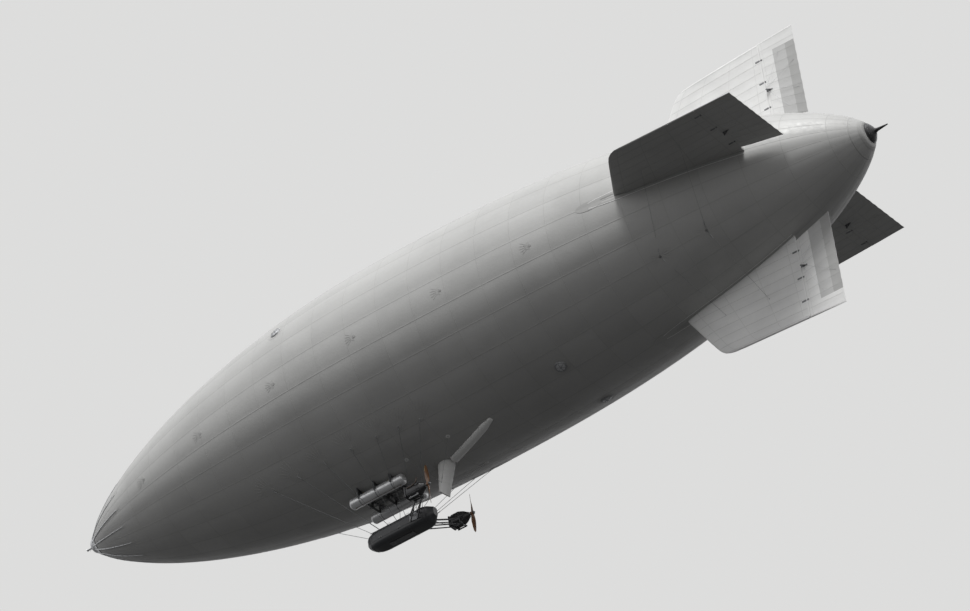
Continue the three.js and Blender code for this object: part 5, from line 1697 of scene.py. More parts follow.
    # feet bolted to the bearers
    for s in (12.09, 12.49):
        for q in (-1, 1):
            slab(b, (X(S(s)) - 0.045, k * (yc + q * 0.110) - 0.020, zc - 0.2305), (X(S(s)) + 0.045, k * (yc + q * 0.110) + 0.020, zc - 0.2205), 0.002, 4)
            for e in (-0.032, 0.032):
                bolt(b, (X(S(s)) + e, k * (yc + q * 0.110), zc - 0.2205), (0, 0, 1), 0.0055, 0.008, 2)
            slab(b, (X(S(s)) - 0.012, k * (yc + q * 0.110) - 0.008, zc - 0.223), (X(S(s)) + 0.012, k * (yc + q * 0.110) + 0.008, zc - 0.165), 0.002, 4)
    b.make(side + "_engine_cowl", slot="dark_paint", nodes=[side + "_engine"], sharp=40)

    # ---- radiator: frame, hexagonal tubes, header tank, filler
    b = Bag(M["copper"], M["black"], M["brass"], M["bright"])
    y0, y1, z0, z1 = yc - 0.165, yc + 0.165, zc - 0.185, zc + 0.195
    sf, sr = 11.8082, 11.8795
    # cornered frame, hollow in the middle
    def rr_loop(g, r, s):
        out = []
        for sy, sz, a0 in ((1, 1, 0), (-1, 1, 90), (-1, -1, 180), (1, -1, 270)):
            for i in range(7):
                a = math.radians(a0 + 15 * i)
                yy = (yc + sy * (0.165 - g - r)) + r * math.cos(a)
                zz = ((z0 + z1) / 2 + sz * (0.190 - g - r)) + r * math.sin(a)
                out.append(P(s, yy, zz))
        return out
    loops = [rr_loop(0.003, 0.027, sf), rr_loop(0.0, 0.030, sf + 0.004), rr_loop(0.0, 0.030, sr - 0.003), rr_loop(0.003, 0.027, sr),
             rr_loop(0.024, 0.010, sr), rr_loop(0.024, 0.010, sf)]
    loft(b, loops, 1, caps=False, wrap=True)
    slab(b, P(sf + 0.036, y0 + 0.02, z0 + 0.02), P(sf + 0.046, y1 - 0.02, z1 - 0.02), 0.001, 1)
    pitch = 0.0132
    row = 0
    z = z0 + 0.031
    while z < z1 - 0.052:
        y = y0 + 0.031 + (pitch / 2 if row % 2 else 0)
        while y < y1 - 0.029:
            hx = [(math.cos(pi / 6 + i * pi / 3), math.sin(pi / 6 + i * pi / 3)) for i in range(6)]
            rings = [[P(sf + 0.006, y + c_ * r_, z + q_ * r_) for c_, q_ in hx] for r_ in (pitch * 0.575, pitch * 0.47)]
            rings += [[P(sf + 0.037, y + c_ * r_, z + q_ * r_) for c_, q_ in hx] for r_ in (pitch * 0.47, pitch * 0.575)]
            loft(b, rings, 0, False, caps=False, wrap=True)
            y += pitch
        z += pitch * 0.866
        row += 1
    slab(b, P(sf + 0.002, y0 + 0.010, z1 - 0.046), P(sr - 0.004, y1 - 0.010, z1 - 0.008), 0.006, 2)
    for q in (-0.055, 0.055):
        rod(b, P(sf + 0.0015, yc + q, z0 + 0.012), P(sf + 0.0015, yc + q, z1 - 0.040), 0.0035, sides=8, mat=1)
    lathe(b, [(-0.01, 0.018), (0.004, 0.018), (0.004, 0.022), (0.009, 0.022), (0.0095, 0.001)], P(sf + 0.030, yc + 0.09, z1), (0, 0, 1), 28, 3)
    rod(b, P(sf + 0.03, yc - 0.10, z0 + 0.004), P(sf + 0.03, yc - 0.10, z0 - 0.009), 0.007, sides=14, mat=3)
    for yy in (y0 + 0.012, y1 - 0.012):
        for zz in np.linspace(z0 + 0.03, z1 - 0.03, 7):
            dome(b, P(sf + 0.0005, yy, zz), (1, 0, 0), 0.0042, n=8, m=2, mat=3)
    b.make(side + "_radiator_core", slot="radiator_core", nodes=[side + "_radiator"], sharp=30)

    # ---- exhaust
    b = Bag(M["burnt"], M["steel"])
    tab = np.array([(0.0, 12.030, 0.205, 0.060), (0.34, 12.380, 0.212, 0.070), (0.585, 12.620, 0.235, 0.120), (0.72, 12.690, 0.245, 0.210)])
    q = np.linspace(0, 0.72, 40)
    cc = catmull(tab, q)
    path = [P(s, yc + y, zc + z) for s, y, z in cc]
    path.append(P(12.700, yc + 0.245, zc + 0.232))
    rad = [0.006, 0.014, 0.0185] + [0.020] * (len(path) - 3)
    tube(b, path[:1] + path[1:], rad, 24, 0)
    e1 = (path[-1] - path[-2]) / np.linalg.norm(path[-1] - path[-2])
    lathe(b, [(-0.016, 0.0205), (-0.016, 0.0232), (0.0, 0.0238), (0.002, 0.0215), (0.0, 0.0170), (-0.03, 0.0165), (-0.03, 0.0005)], path[-1], e1, 32, 0)
    for s in (12.100, 12.220, 12.340):
        y_s = float(np.interp(s, cc[:, 0], cc[:, 1]))
        z_s = float(np.interp(s, cc[:, 0], cc[:, 2]))
        rod(b, P(s, yc + 0.150, zc + 0.060), P(s, yc + y_s, zc + z_s), 0.0135, sides=20)
        a = math.asin(min(1, (0.060 / nac_half(s)[1])) ** (1 / 0.72))
        p, n = nac_pt(s, a, 0.0), P(0, 1, 0) - P(0, 0, 0)
        lathe(b, [(-0.004, 0.026), (0.0045, 0.026), (0.0055, 0.024), (0.0055, 0.0125)], p, n, 28, 1)
        for z_ in (-0.020, 0.020):
            bolt(b, p + np.array([0, k * 0.005, z_]), n, 0.004, 0.006, 1)
    for i in (14, 27):
        d = path[i + 1] - path[i - 1]
        d /= np.linalg.norm(d)
        lathe(b, [(-0.007, 0.0225), (0.007, 0.0225)], path[i], d, 28, 1)
    rod(b, path[30] - np.array([0, k * 0.005, 0]), nac_pt(float(cc[30][0]) - 0.04, math.radians(35), -0.003), 0.005, sides=10, mat=1)
    b.make(side + "_exhaust_pipe", slot="steel_fittings", nodes=[side + "_exhaust"], sharp=40)

    # ---- outrigger
    b = Bag(M["steel"], M["bright"], M["wire"])
    rp = []
    for sy, sz, a0 in ((1, 1, 0), (-1, 1, 90), (-1, -1, 180), (1, -1, 270)):
        for i in range(7):
            a = math.radians(a0 + 15 * i)
            rp.append((11.930 + sy * 0.135 + 0.035 * math.cos(a), -5.010 + sz * 0.095 + 0.035 * math.sin(a)))
    loft(b, [[Q(s, CAR_SIDE + 0.0007, z) for s, z in rp], [Q(s, CAR_SIDE + 0.0105, z) for s, z in rp],
             [Q(11.93 + (s - 11.93) * 0.993, CAR_SIDE + 0.0118, -5.01 + (z + 5.01) * 0.99) for s, z in rp]], 0)
    for s in np.linspace(11.785, 12.075, 8):
        for z in (-4.893, -5.127):
            dome(b, Q(s, CAR_SIDE + 0.0116, z), (0, k, 0), 0.006, 0.0032, 10, 2, 1)
    for z in np.linspace(-5.09, -4.93, 4):
        for s in (11.773, 12.087):
            dome(b, Q(s, CAR_SIDE + 0.0116, z), (0, k, 0), 0.006, 0.0032, 10, 2, 1)
    for i, (s, z, to) in enumerate(((11.800, -4.905, 12.490), (12.060, -4.905, 12.738), (11.800, -5.115, 12.490), (12.060, -5.115, 12.738))):
        up = i < 2
        a_, e_ = Q(s, CAR_SIDE + 0.006, z), Q(to, yc - (0.200 if up else 0.110), zc - (0.120 if up else 0.250))
        d = (e_ - a_) / np.linalg.norm(e_ - a_)
        tube(b, [a_, a_ + d * 0.09, a_ + d * 0.12, e_ - d * 0.10, e_ - d * 0.07, e_], [0.0130, 0.0150, 0.0190, 0.0180, 0.0150, 0.0125], 24, 0)
        lathe(b, [(-0.002, 0.031), (0.010, 0.031), (0.014, 0.027), (0.024, 0.022), (0.026, 0.004)], a_ + np.array([0, k * 0.004, 0]), (0, k, 0), 28, 0)
        lathe(b, [(0.012, 0.0215), (0.050, 0.0195), (0.058, 0.0155)], a_ + np.array([0, k * 0.005, 0]), d, 28, 0)
        lathe(b, [(0.0, 0.0165), (0.045, 0.0185), (0.050, 0.015)], e_ - d * 0.052, d, 24, 0)
        rod(b, e_ - d * 0.03 + np.array([0.024, 0, 0]), e_ - d * 0.03 - np.array([0.024, 0, 0]), 0.0065, sides=12, mat=1)
        for q in (-1, 1):
            bolt(b, a_ + d * 0.040 + np.array([0, 0, q * 0.0185]), (0, 0, q), 0.005, 0.006, 1)
        if i == 1:
            # fuel and control lines along the rear strut
            for q, r_ in ((0.027, 0.0045), (0.038, 0.0035)):
                o_ = np.array([0, 0, -q])
                tube(b, [a_ + np.array([0, k * 0.006, -q - 0.01]), a_ + d * 0.10 + o_, a_ + d * 0.35 + o_, e_ - d * 0.30 + o_, e_ - d * 0.10 + o_ * 0.95, e_ - d * 0.02 + o_ * 0.8], r_, 10, 2)
    for q in (-1, 1):
        channel(b, P(12.020, yc + q * 0.110, zc - 0.232), P(12.560, yc + q * 0.110, zc - 0.232), (0, 0, 1), 0.032, 0.030, 0.005, 0)
        for s in np.arange(12.06, 12.55, 0.06):
            dome(b, P(s, yc + q * 0.110, zc - 0.232), (0, 0, 1), 0.004, 0.002, 8, 2, 1)
    for s in (12.090, 12.490):
        channel(b, P(s, yc - 0.216, zc - 0.234), P(s, yc + 0.126, zc - 0.234), (0, 0, 1), 0.032, 0.026, 0.005, 0)
        rod(b, P(s, yc - 0.205, zc - 0.240), P(s, yc - 0.205, zc - 0.102), 0.0105, sides=20)
        lathe(b, [(-0.012, 0.0155), (0.012, 0.0155)], P(s, yc - 0.205, zc - 0.118), (0, 0, 1), 24, 0)
        lathe(b, [(0, 0.0165), (0.012, 0.0165), (0.016, 0.012)], P(s, yc - 0.205, zc - 0.236), (0, 0, 1), 24, 0)
        tube(b, [P(s, yc - 0.205, zc - 0.150), P(s, yc - 0.120, zc - 0.228)], 0.007, 14, 0)
    for a_, e_, r_ in ((Q(12.060, CAR_SIDE + 0.006, -4.905), Q(12.490, yc - 0.110, zc - 0.250), 0.0055),
                       (Q(11.800, CAR_SIDE + 0.0115, -4.940), Q(12.738, yc - 0.130, zc - 0.246), 0.0050)):
        d = (e_ - a_) / np.linalg.norm(e_ - a_)
        rod(b, a_, e_, r_, sides=14, mat=2)
        tube(b, [a_ + d * 0.28, a_ + d * 0.30, a_ + d * 0.38, a_ + d * 0.40], [r_, 0.0108, 0.0108, r_], 16, 1)
    b.make(side + "_outrigger_frame", slot="steel_fittings", nodes=[side + "_outrigger"], sharp=35)

    # ---- propeller
    BL = np.array([(0.020, 0.070, 0.052, 75), (0.120, 0.105, 0.044, 62), (0.260, 0.135, 0.030, 44), (0.430, 0.130, 0.020, 30),
                   (0.580, 0.100, 0.013, 23), (0.665, 0.060, 0.008, 20), (0.690, 0.020, 0.005, 19)])
    hubc = Q(PROP_AT, yc, zc)
    b = Bag(M["prop"], M["brass"], M["steel"], M["bright"])

    def blade_pt(r, q, grow=0.0):
        c, t, tw = (float(v) for v in catmull(BL, np.array([r]))[0])
        c, t = max(c, 0.004), max(t, 0.003)
        a = (90 - tw) * math.pi / 180 * k
        # cambered section: flatter on one face, nose at q = 0
        u = math.cos(q) * (c / 2 + grow)
        th = math.sin(q)
        v = (t / 2 + grow) * (th * (1.0 if th > 0 else 0.72) * (1 - 0.16 * math.cos(q)))
        v = min(max(v, -t / 2 - grow), t / 2 + grow)
        return np.array([u * math.cos(a) - v * math.sin(a), u * math.sin(a) + v * math.cos(a), r])

    for turn in (0, 180):
        cs_, sn_ = math.cos(math.radians(turn)), math.sin(math.radians(turn))
        Rm = np.array([[1, 0, 0], [0, cs_, -sn_], [0, sn_, cs_]])
        rs = np.concatenate([np.linspace(0.020, 0.640, 34), 0.640 + 0.050 * np.sin(np.linspace(0, pi / 2, 10))[1:]])
        qs = np.arange(28) / 28 * 2 * pi
        rings = []
        for r in rs:
            rings.append([blade_pt(r, q) @ Rm.T + hubc for q in qs])
        loft(b, rings, 0)
        # metal sheath round the tip and the leading edge, pinned
        rs2 = np.linspace(0.455, 0.684, 20)
        q2 = np.linspace(-1.05, 1.05, 13)
        rings = []
        for r in rs2:
            wd = 0.55 + 0.6 * max(0, (r - 0.60) / 0.084)
            o_ = [blade_pt(r, q * min(wd, 1.25), 0.0010) for q in q2]
            i_ = [blade_pt(r, q * min(wd, 1.25), -0.0008) for q in q2[::-1]]
            rings.append([p @ Rm.T + hubc for p in o_ + i_])
        loft(b, rings, 1)
        for r in np.linspace(0.47, 0.67, 11):
            for q in (-0.42, 0.42):
                wd = min(0.55 + 0.6 * max(0, (r - 0.60) / 0.084), 1.25)
                p = blade_pt(r, q * wd * 1.8, 0.0008)
                d = blade_pt(r, q * wd * 1.8, 0.003) - blade_pt(r, q * wd * 1.8, 0.0)
                dome(b, p @ Rm.T + hubc, (d / np.linalg.norm(d)) @ Rm.T, 0.0022, 0.0011, 7, 2, 3)
    # boss, plates, bolts, shaft, cap
    ax = np.array([-1.0, 0, 0])
    lathe(b, [(-0.050, 0.052), (-0.046, 0.0595), (0.034, 0.0595), (0.040, 0.052)], hubc, ax, 64, 0)
    lathe(b, [(-0.062, 0.0605), (-0.060, 0.0618), (-0.052, 0.0618), (-0.050, 0.0605)], hubc, ax, 64, 2)
    lathe(b, [(0.040, 0.0605), (0.041, 0.0618), (0.048, 0.0618), (0.050, 0.0600)], hubc, ax, 64, 2)
    for i in range(8):
        a = i / 8 * 2 * pi + pi / 8
        c_ = hubc + np.array([0, 0.047 * math.cos(a), 0.047 * math.sin(a)])
        bolt(b, c_ + ax * 0.0495, ax, 0.0052, 0.010, 3)
        rod(b, c_ - ax * 0.0615, c_ + ax * 0.050, 0.004, sides=10, mat=3)
        bolt(b, c_ - ax * 0.0615, -ax, 0.0052, 0.008, 3)
    lathe(b, [(0.049, 0.034), (0.056, 0.034), (0.058, 0.030), (0.074, 0.028), (0.078, 0.022), (0.092, 0.018), (0.099, 0.008), (0.100, 0.0005)], hubc, ax, 40, 3)
    lathe(b, [(0.052, 0.0335), (0.070, 0.0335)], hubc, ax, 6, 3, False)
    lathe(b, [(-0.173, 0.0235), (-0.171, 0.025), (-0.060, 0.025)], hubc, ax, 40, 3)
    lathe(b, [(-0.075, 0.038), (-0.073, 0.040), (-0.063, 0.040), (-0.062, 0.038)], hubc, ax, 48, 2)
    b.make(side + "_propeller_blades", body=side + "_propeller", slot="varnished_wood", nodes=[side + "_propeller"], sharp=35)
# ------------------------------------------------------------------ fuel tanks and their cradle
TANK_FROM, TANK_TO = 9.930, 11.970
SADDLES = (10.350, 10.950, 11.550)


def tank_prof():
    pts = []
    for i in range(19):
        a = i / 18 * pi / 2
        pts.append((TANK_FROM + 0.110 - 0.110 * math.cos(a) ** 1.0, TANK_R * math.sin(a) ** 0.85))
    for s in np.linspace(TANK_FROM + 0.13, TANK_TO - 0.13, 24):
        pts.append((s, TANK_R))
    for i in range(19):
        a = pi / 2 - i / 18 * pi / 2
        pts.append((TANK_TO - 0.110 + 0.110 * math.cos(a) ** 1.0, TANK_R * math.sin(a) ** 0.85))
    return pts


for side, k in (("port", 1), ("starboard", -1)):
    yc = TANK_OUT * k
    b = Bag(M["tank"], M["tank"], M["bright"], M["brass"], M["copper"])
    lathe(b, [(s - XN, r) for s, r in tank_prof()], (0, yc, TANK_Z), (-1, 0, 0), 80, 0)
    # welded seams and swaged rings
    for s in (TANK_FROM + 0.112, 10.620, 11.280, TANK_TO - 0.112):
        lathe(b, [(s - XN + e, TANK_R + h) for e, h in ((-0.011, -0.002), (-0.010, 0.0012), (-0.004, 0.0034), (0.004, 0.0034), (0.010, 0.0012), (0.011, -0.002))], (0, yc, TANK_Z), (-1, 0, 0), 80, 1)
        for i in range(44):
            a = i / 44 * 2 * pi
            dome(b, (X(s + 0.0165), yc + (TANK_R - 0.0002) * math.cos(a), TANK_Z + (TANK_R - 0.0002) * math.sin(a)), (0, math.cos(a), math.sin(a)), 0.0030, 0.0017, 7, 2, 1)
    tube(b, [(X(s), yc - k * math.sin(math.radians(12)) * TANK_R, TANK_Z + math.cos(math.radians(12)) * TANK_R) for s in np.linspace(TANK_FROM + 0.13, TANK_TO - 0.13, 8)], 0.0030, 8, 1)
    # straps under the tank with tension screws
    for s in SADDLES:
        rings = []
        for a in np.linspace(math.radians(176), math.radians(364), 60):
            c_, q_ = math.cos(a), math.sin(a)
            rings.append([(X(s) + dx, yc + (TANK_R + e) * c_, TANK_Z + (TANK_R + e) * q_) for dx, e in ((-0.017, 0.0006), (-0.016, 0.0026), (0.016, 0.0026), (0.017, 0.0006), (0.012, -0.002), (-0.012, -0.002))])
        loft(b, rings, 2)
    for s in (TANK_FROM, TANK_TO):
        q = 1 if s == TANK_TO else -1
        lathe(b, [(-0.012, 0.050), (0.000, 0.049), (0.003, 0.044), (0.003, 0.030), (0.006, 0.028), (0.006, 0.0005)], (X(s - q * 0.0005), yc, TANK_Z), (-q, 0, 0), 40, 1)
        for i in range(10):
            a = i / 10 * 2 * pi
            bolt(b, (X(s + q * 0.002), yc + 0.037 * math.cos(a), TANK_Z + 0.037 * math.sin(a)), (-q, 0, 0), 0.0032, 0.0045, 2)
    # filler, drain cock, contents gauge, feed pipe joining the drains
    for s in (10.500, 11.420):
        a = math.radians(34) * k
        nrm = np.array([0, math.sin(a), math.cos(a)])
        base = np.array([X(s), yc, TANK_Z]) + nrm * TANK_R
        lathe(b, [(-0.006, 0.030), (0.002, 0.030), (0.003, 0.024), (0.0075, 0.024), (0.009, 0.020), (0.009, 0.0005)], base, nrm, 32, 3)
    for s in (10.12, 11.78):
        base = np.array([X(s), yc, TANK_Z - TANK_R])
        lathe(b, [(-0.004, 0.020), (0.003, 0.020), (0.004, 0.012), (0.008, 0.011), (0.008, 0.0005)], base, (0, 0, -1), 24, 3)
    tube(b, [(X(s), yc + k * 0.020, TANK_Z - TANK_R - 0.0030 + 0.0012) for s in np.linspace(10.10, 11.80, 12)], 0.0045, 10, 4)
    b.make(side + "_tank_shell", slot="bright_alloy", nodes=[side + "_fuel_tank"], sharp=40)

b = Bag(M["steel"], M["alloy_dull"], M["bright"])
RB = TANK_R + 0.0008
for s in SADDLES:
    s_low = s - 0.022 if hull_r(s - 0.022) > hull_r(s + 0.022) else s + 0.022
    r_top = float(hull_r(s_low)) + 0.0008

    def z_top(y):
        return -math.sqrt(r_top ** 2 - y ** 2)

    def z_bot(y):
        q = abs(abs(y) - TANK_OUT)
        if q < RB:
            return TANK_Z + math.sqrt(RB ** 2 - q ** 2)
        return TANK_Z - 0.038

    ys = [y for y in np.linspace(-0.760, 0.760, 229)]
    for edge in (TANK_OUT - RB, TANK_OUT + RB):
        for sg in (1, -1):
            ys += [sg * (edge - 0.0004), sg * (edge + 0.0004)]
    ys = sorted(set(round(y, 5) for y in ys if abs(y) <= 0.7601))
    web = Bag(M["steel"])
    rings = []
    for y in ys:
        rings.append([(X(s - 0.006), y, z_bot(y)), (X(s + 0.006), y, z_bot(y)), (X(s + 0.006), y, z_top(y)), (X(s - 0.006), y, z_top(y))])
    loft(web, rings, 0, False)
    obj = plain(web)
    cut = Bag(M["steel"])
    z_lo, z_hi = TANK_Z + 0.013, -float(hull_r(s)) - 0.048
    for sg in (1, -1):
        win = []
        for sy, sz, a0 in ((1, 1, 0), (-1, 1, 90), (-1, -1, 180), (1, -1, 270)):
            for i in range(9):
                a = math.radians(a0 + 11.25 * i)
                win.append((sg * 0.195 + sy * 0.102 + 0.038 * math.cos(a), (z_lo + z_hi) / 2 + sz * ((z_hi - z_lo) / 2 - 0.038) + 0.038 * math.sin(a)))
        loft(cut, [[(X(s) + e, y, z) for y, z in win] for e in (-0.03, 0.03)], 0, False)
        tube(b, [(X(s), y, z) for y, z in win], 0.0060, 10, 0, True)
    boolean(obj, plain(cut, "cut"))
    me = obj.data
    bpy.data.objects.remove(obj)
    V = np.empty(len(me.vertices) * 3)
    me.vertices.foreach_get("co", V)
    b.add(V.reshape(-1, 3), [tuple(p.vertices) for p in me.polygons], 0, False)
    # flanges: along the hull, round the tanks, at the ends
    rings = []
    for y in np.linspace(-0.760, 0.760, 90):
        z = z_top(y)
        rings.append([(X(s - 0.022), y, z - 0.0045), (X(s + 0.022), y, z - 0.0045), (X(s + 0.022), y, z), (X(s - 0.022), y, z)])
    loft(b, rings, 0)
    for sg in (1, -1):
        rings = []
        for a in np.linspace(math.radians(-10), math.radians(190), 60):
            c_, q_ = math.cos(a), math.sin(a)
            rings.append([(X(s) + dx, sg * TANK_OUT + (RB + e) * c_, TANK_Z + (RB + e) * q_) for dx, e in ((-0.0215, 0.0), (0.0215, 0.0), (0.0215, 0.0045), (-0.0215, 0.0045))])
        loft(b, rings, 0)
        slab(b, (X(s + 0.022), sg * 0.7555, TANK_Z - 0.038), (X(s - 0.022), sg * 0.760, z_top(0.758)), 0.001, 0)
        # tension screw where the strap meets the saddle
        for yy in (sg * 0.7385, sg * 0.3515):
            rod(b, (X(s), yy, TANK_Z - 0.036), (X(s), yy, TANK_Z + 0.012), 0.005, sides=12, mat=2)
            bolt(b, (X(s), yy, TANK_Z - 0.028), (0, 0, -1), 0.0075, 0.0095, 2)
    slab(b, (X(s + 0.022), -0.345, TANK_Z - 0.038), (X(s - 0.022), 0.345, TANK_Z - 0.0335), 0.001, 0)
    slab(b, (X(s + 0.022), -0.335, TANK_Z + 0.006), (X(s - 0.022), 0.335, TANK_Z + 0.010), 0.001, 0)
    for y in np.linspace(-0.72, 0.72, 17):
        for dx in (-0.015, 0.015):
            dome(b, (X(s) + dx, y, z_top(y) - 0.0045), (0, 0, -1), 0.0042, n=8, m=2, mat=2)
# lattice beam between the saddles
for z0 in (TANK_Z - 0.020, TANK_Z + 0.118):
    slab(b, (X(11.650), -0.026, z0), (X(10.250), 0.026, z0 + 0.012), 0.002, 0)
slab(b, (X(11.650), -0.004, TANK_Z - 0.010), (X(10.250), 0.004, TANK_Z + 0.004), 0.001, 0)
slab(b, (X(11.650), -0.004, TANK_Z + 0.106), (X(10.250), 0.004, TANK_Z + 0.120), 0.001, 0)
for i in range(14):
    s0, s1 = 10.25 + i * 0.10, 10.35 + i * 0.10
    z0, z1 = (TANK_Z - 0.008, TANK_Z + 0.120) if i % 2 else (TANK_Z + 0.120, TANK_Z - 0.008)
    rod(b, (X(s0), 0, z0), (X(s1), 0, z1), 0.008, sides=10)
for s in (10.25, 11.65):
    slab(b, (X(s) - (0.006 if s < 11 else 0), -0.026, TANK_Z - 0.02), (X(s) + (0.006 if s > 11 else 0), 0.026, TANK_Z + 0.13), 0.001, 0)
b.make("tank_cradle_frame", slot="steel_fittings", nodes=["tank_cradle"], sharp=35)

# fabric pads on the hull over the saddles
b = Bag(M["patch"], M["tape"])
for s in SADDLES:
    hull_patch(b, s, pi, pi / 2, 0.80, lambda u: 0.085 * min(1, 7 * u + 0.3, 7 * (1 - u) + 0.3), -0.001, 0.0025, 0, 40, 5, start=-0.80)
b.make("cradle_pads", slot="envelope_fabric")

# ------------------------------------------------------------------ air scoop
A0, A1 = np.array([X(12.900), 0, -4.700]), np.array([X(13.230), 0, -3.250])
dirv = (A1 - A0) / np.linalg.norm(A1 - A0)
LEN = float(np.linalg.norm(A1 - A0))
sx, sy = np.array([0.0, 1.0, 0.0]), np.cross(dirv, np.array([0.0, 1.0, 0.0]))
LIP, LIP_N = A0 + dirv * (0.09 * LEN), np.array([-math.sqrt(0.5), 0, math.sqrt(0.5)])


def scoop_pt(t, a, off=0.0):
    return A0 + dirv * (t * LEN) + (sx * math.cos(a) + sy * math.sin(a)) * (0.160 + 0.140 * t + off)


def lip_t(a, off=0.0):
    """Where the slanted mouth cuts the duct at angle a."""
    f0, f1 = (float(np.dot(scoop_pt(t, a, off) - LIP, LIP_N)) for t in (0.0, 1.0))
    return -f0 / (f1 - f0)


def meet(a, off, sink):
    """Where a line along the duct at angle a reaches the hull, sink metres under its surface."""
    lo_, hi_ = 0.3, 1.1
    for _ in range(40):
        m_ = (lo_ + hi_) / 2
        p = scoop_pt(m_, a, off)
        if math.hypot(p[1], p[2]) > float(hull_r(XN - p[0])) - sink:
            lo_ = m_
        else:
            hi_ = m_
    return lo_


HOOPS = (0.30, 0.43, 0.56, 0.69)


def belly_sag(t):
    """The cloth draws in a little between the hoops."""
    u = (t - 0.04) / 0.13
    return -0.0045 * math.sin(pi * (u - math.floor(u))) ** 2


b = Bag(M["duct"], M["steel"], M["bright"], M["patch"])
A_ = np.arange(80) / 80 * 2 * pi
lips = [lip_t(a) for a in A_]
ends_o = [meet(a, 0, 0.003) for a in A_]
ends_i = [meet(a, -0.010, 0.003) for a in A_]
qs = np.linspace(0, 1, 40)
skin_o, skin_i = [], []
for q in qs:
    ro, ri = [], []
    for j, a in enumerate(A_):
        t = lips[j] + 0.003 + q * (ends_o[j] - lips[j] - 0.003)
        ro.append(scoop_pt(t, a, -0.001 + belly_sag(t) * min(1, 12 * q)))
        t = lips[j] + 0.003 + q * (ends_i[j] - lips[j] - 0.003)
        ri.append(scoop_pt(t, a, -0.009 + belly_sag(t) * min(1, 12 * q)))
    skin_o.append(ro)
    skin_i.append(ri)
loft(b, skin_o + skin_i[::-1], 0, caps=False, wrap=True)
# roped lip, hoops in cloth sleeves, tapes along the duct
tube(b, [scoop_pt(lips[j] + 0.006, a, -0.0052) for j, a in enumerate(A_)], 0.0072, 12, 0, True)
for t in HOOPS:
    rr = []
    for j, a in enumerate(A_):
        if lips[j] + 0.02 < t < ends_o[j] - 0.01:
            rr.append([scoop_pt(t + e / LEN, a, h) for e, h in ((-0.020, -0.006), (-0.016, -0.0005), (-0.006, 0.0030), (0.006, 0.0030), (0.016, -0.0005), (0.020, -0.006), (0.0, -0.008))])
    if len(rr) == len(A_):
        loft(b, rr, 0, caps=False, wrap=True)
    else:
        on = [lips[j] + 0.02 < t < ends_o[j] - 0.01 for j in range(len(A_))]
        j0 = next(j for j in range(len(A_)) if on[j] and not on[j - 1])
        rr = []
        j = j0
        while on[j % len(A_)]:
            rr.append([scoop_pt(t + e / LEN, A_[j % len(A_)], h) for e, h in ((-0.020, -0.006), (-0.016, -0.0005), (-0.006, 0.0030), (0.006, 0.0030), (0.016, -0.0005), (0.020, -0.006), (0.0, -0.008))])
            j += 1
        loft(b, rr, 0)
for i in range(8):
    a = (i + 0.5) / 8 * 2 * pi
    j = int(round(a / (2 * pi) * len(A_))) % len(A_)
    rr = []
    for t in np.linspace(lips[j] + 0.012, ends_o[j] - 0.006, 24):
        g = belly_sag(t)
        rr.append([scoop_pt(t, a + w_ / 0.25, -0.001 + g + h) for w_, h in ((-0.013, -0.003), (-0.012, 0.0012), (0.012, 0.0012), (0.013, -0.003))])
    loft(b, rr, 0)
b.make("air_scoop_duct", slot="duct_fabric", nodes=["air_scoop"], sharp=40)

# ------------------------------------------------------------------ air sleeve along the belly
b = Bag(M["duct"], M["tape"], M["patch"])
UP_S, UP_P = 0.24 / math.hypot(1, 0.24), 1 / math.hypot(1, 0.24)


def sleeve_pt(t, u, lift):
    """t along the sleeve, u metres across it, lift metres off the hull."""
    s = 13.460 + 1.980 * t
    r = float(hull_r(s))
    return hull_pt(s - UP_S * u, pi - math.radians(1.0 + 12.4 * t) - UP_P * u / r, lift)


rings = []
PHI = np.linspace(0, pi, 29)
for t in np.concatenate([0.014 * (1 - np.cos(np.linspace(0.2, 1, 6) * pi / 2)), np.linspace(0.02, 0.98, 150), 1 - 0.014 * (1 - np.sin(np.linspace(0, 0.8, 6) * pi / 2))]):
    w = 0.160 - 0.025 * t - 0.060 * max(0, t - 0.8) / 0.2
    h = 0.105 - 0.015 * t - 0.040 * max(0, t - 0.8) / 0.2
    e = math.sqrt(max(0.05, 1 - max(0, 1 - t / 0.016) ** 2)) * math.sqrt(max(0.05, 1 - max(0, 1 - (1 - t) / 0.016) ** 2))
    u = t * 9.0
    band = abs((u - math.floor(u)) - 0.5) * 2
    pinch = 1 - 0.055 * max(0, (band - 0.62) / 0.38) ** 2
    rip = 0.0032 * max(0, (band - 0.30) / 0.70) ** 2
    pts = []
    for i, p in enumerate(PHI):
        k_ = pinch * (0.45 + 0.55 * e)
        wav = rip * math.cos(i * 2.2 + 1.3 * math.floor(u + 0.5)) * math.sin(p)
        pts.append(sleeve_pt(t, w * k_ * math.cos(p), max(0.0, (h * pinch * e + wav) * math.sin(p) ** 0.86) - 0.0035))
    for c_ in (-0.8, 0.8):
        pts.append(sleeve_pt(t, w * pinch * 0.9 * c_, -0.008))
    rings.append(pts)
loft(b, rings, 0)
for i in range(0, 9):
    t0 = (i + 1.0) / 9.0
    if t0 > 0.97:
        continue
    w = 0.160 - 0.025 * t0 - 0.060 * max(0, t0 - 0.8) / 0.2
    h = 0.105 - 0.015 * t0 - 0.040 * max(0, t0 - 0.8) / 0.2
    rr = []
    for p in np.linspace(0, pi, 41):
        rr.append([sleeve_pt(t0 + dt / 1.98, (w * 0.945 + e) * math.cos(p), (h * 0.945 + e) * math.sin(p) ** 0.86 - 0.002) for dt, e in ((-0.014, -0.003), (-0.012, 0.0030), (0.012, 0.0030), (0.014, -0.003))])
    loft(b, rr, 0)
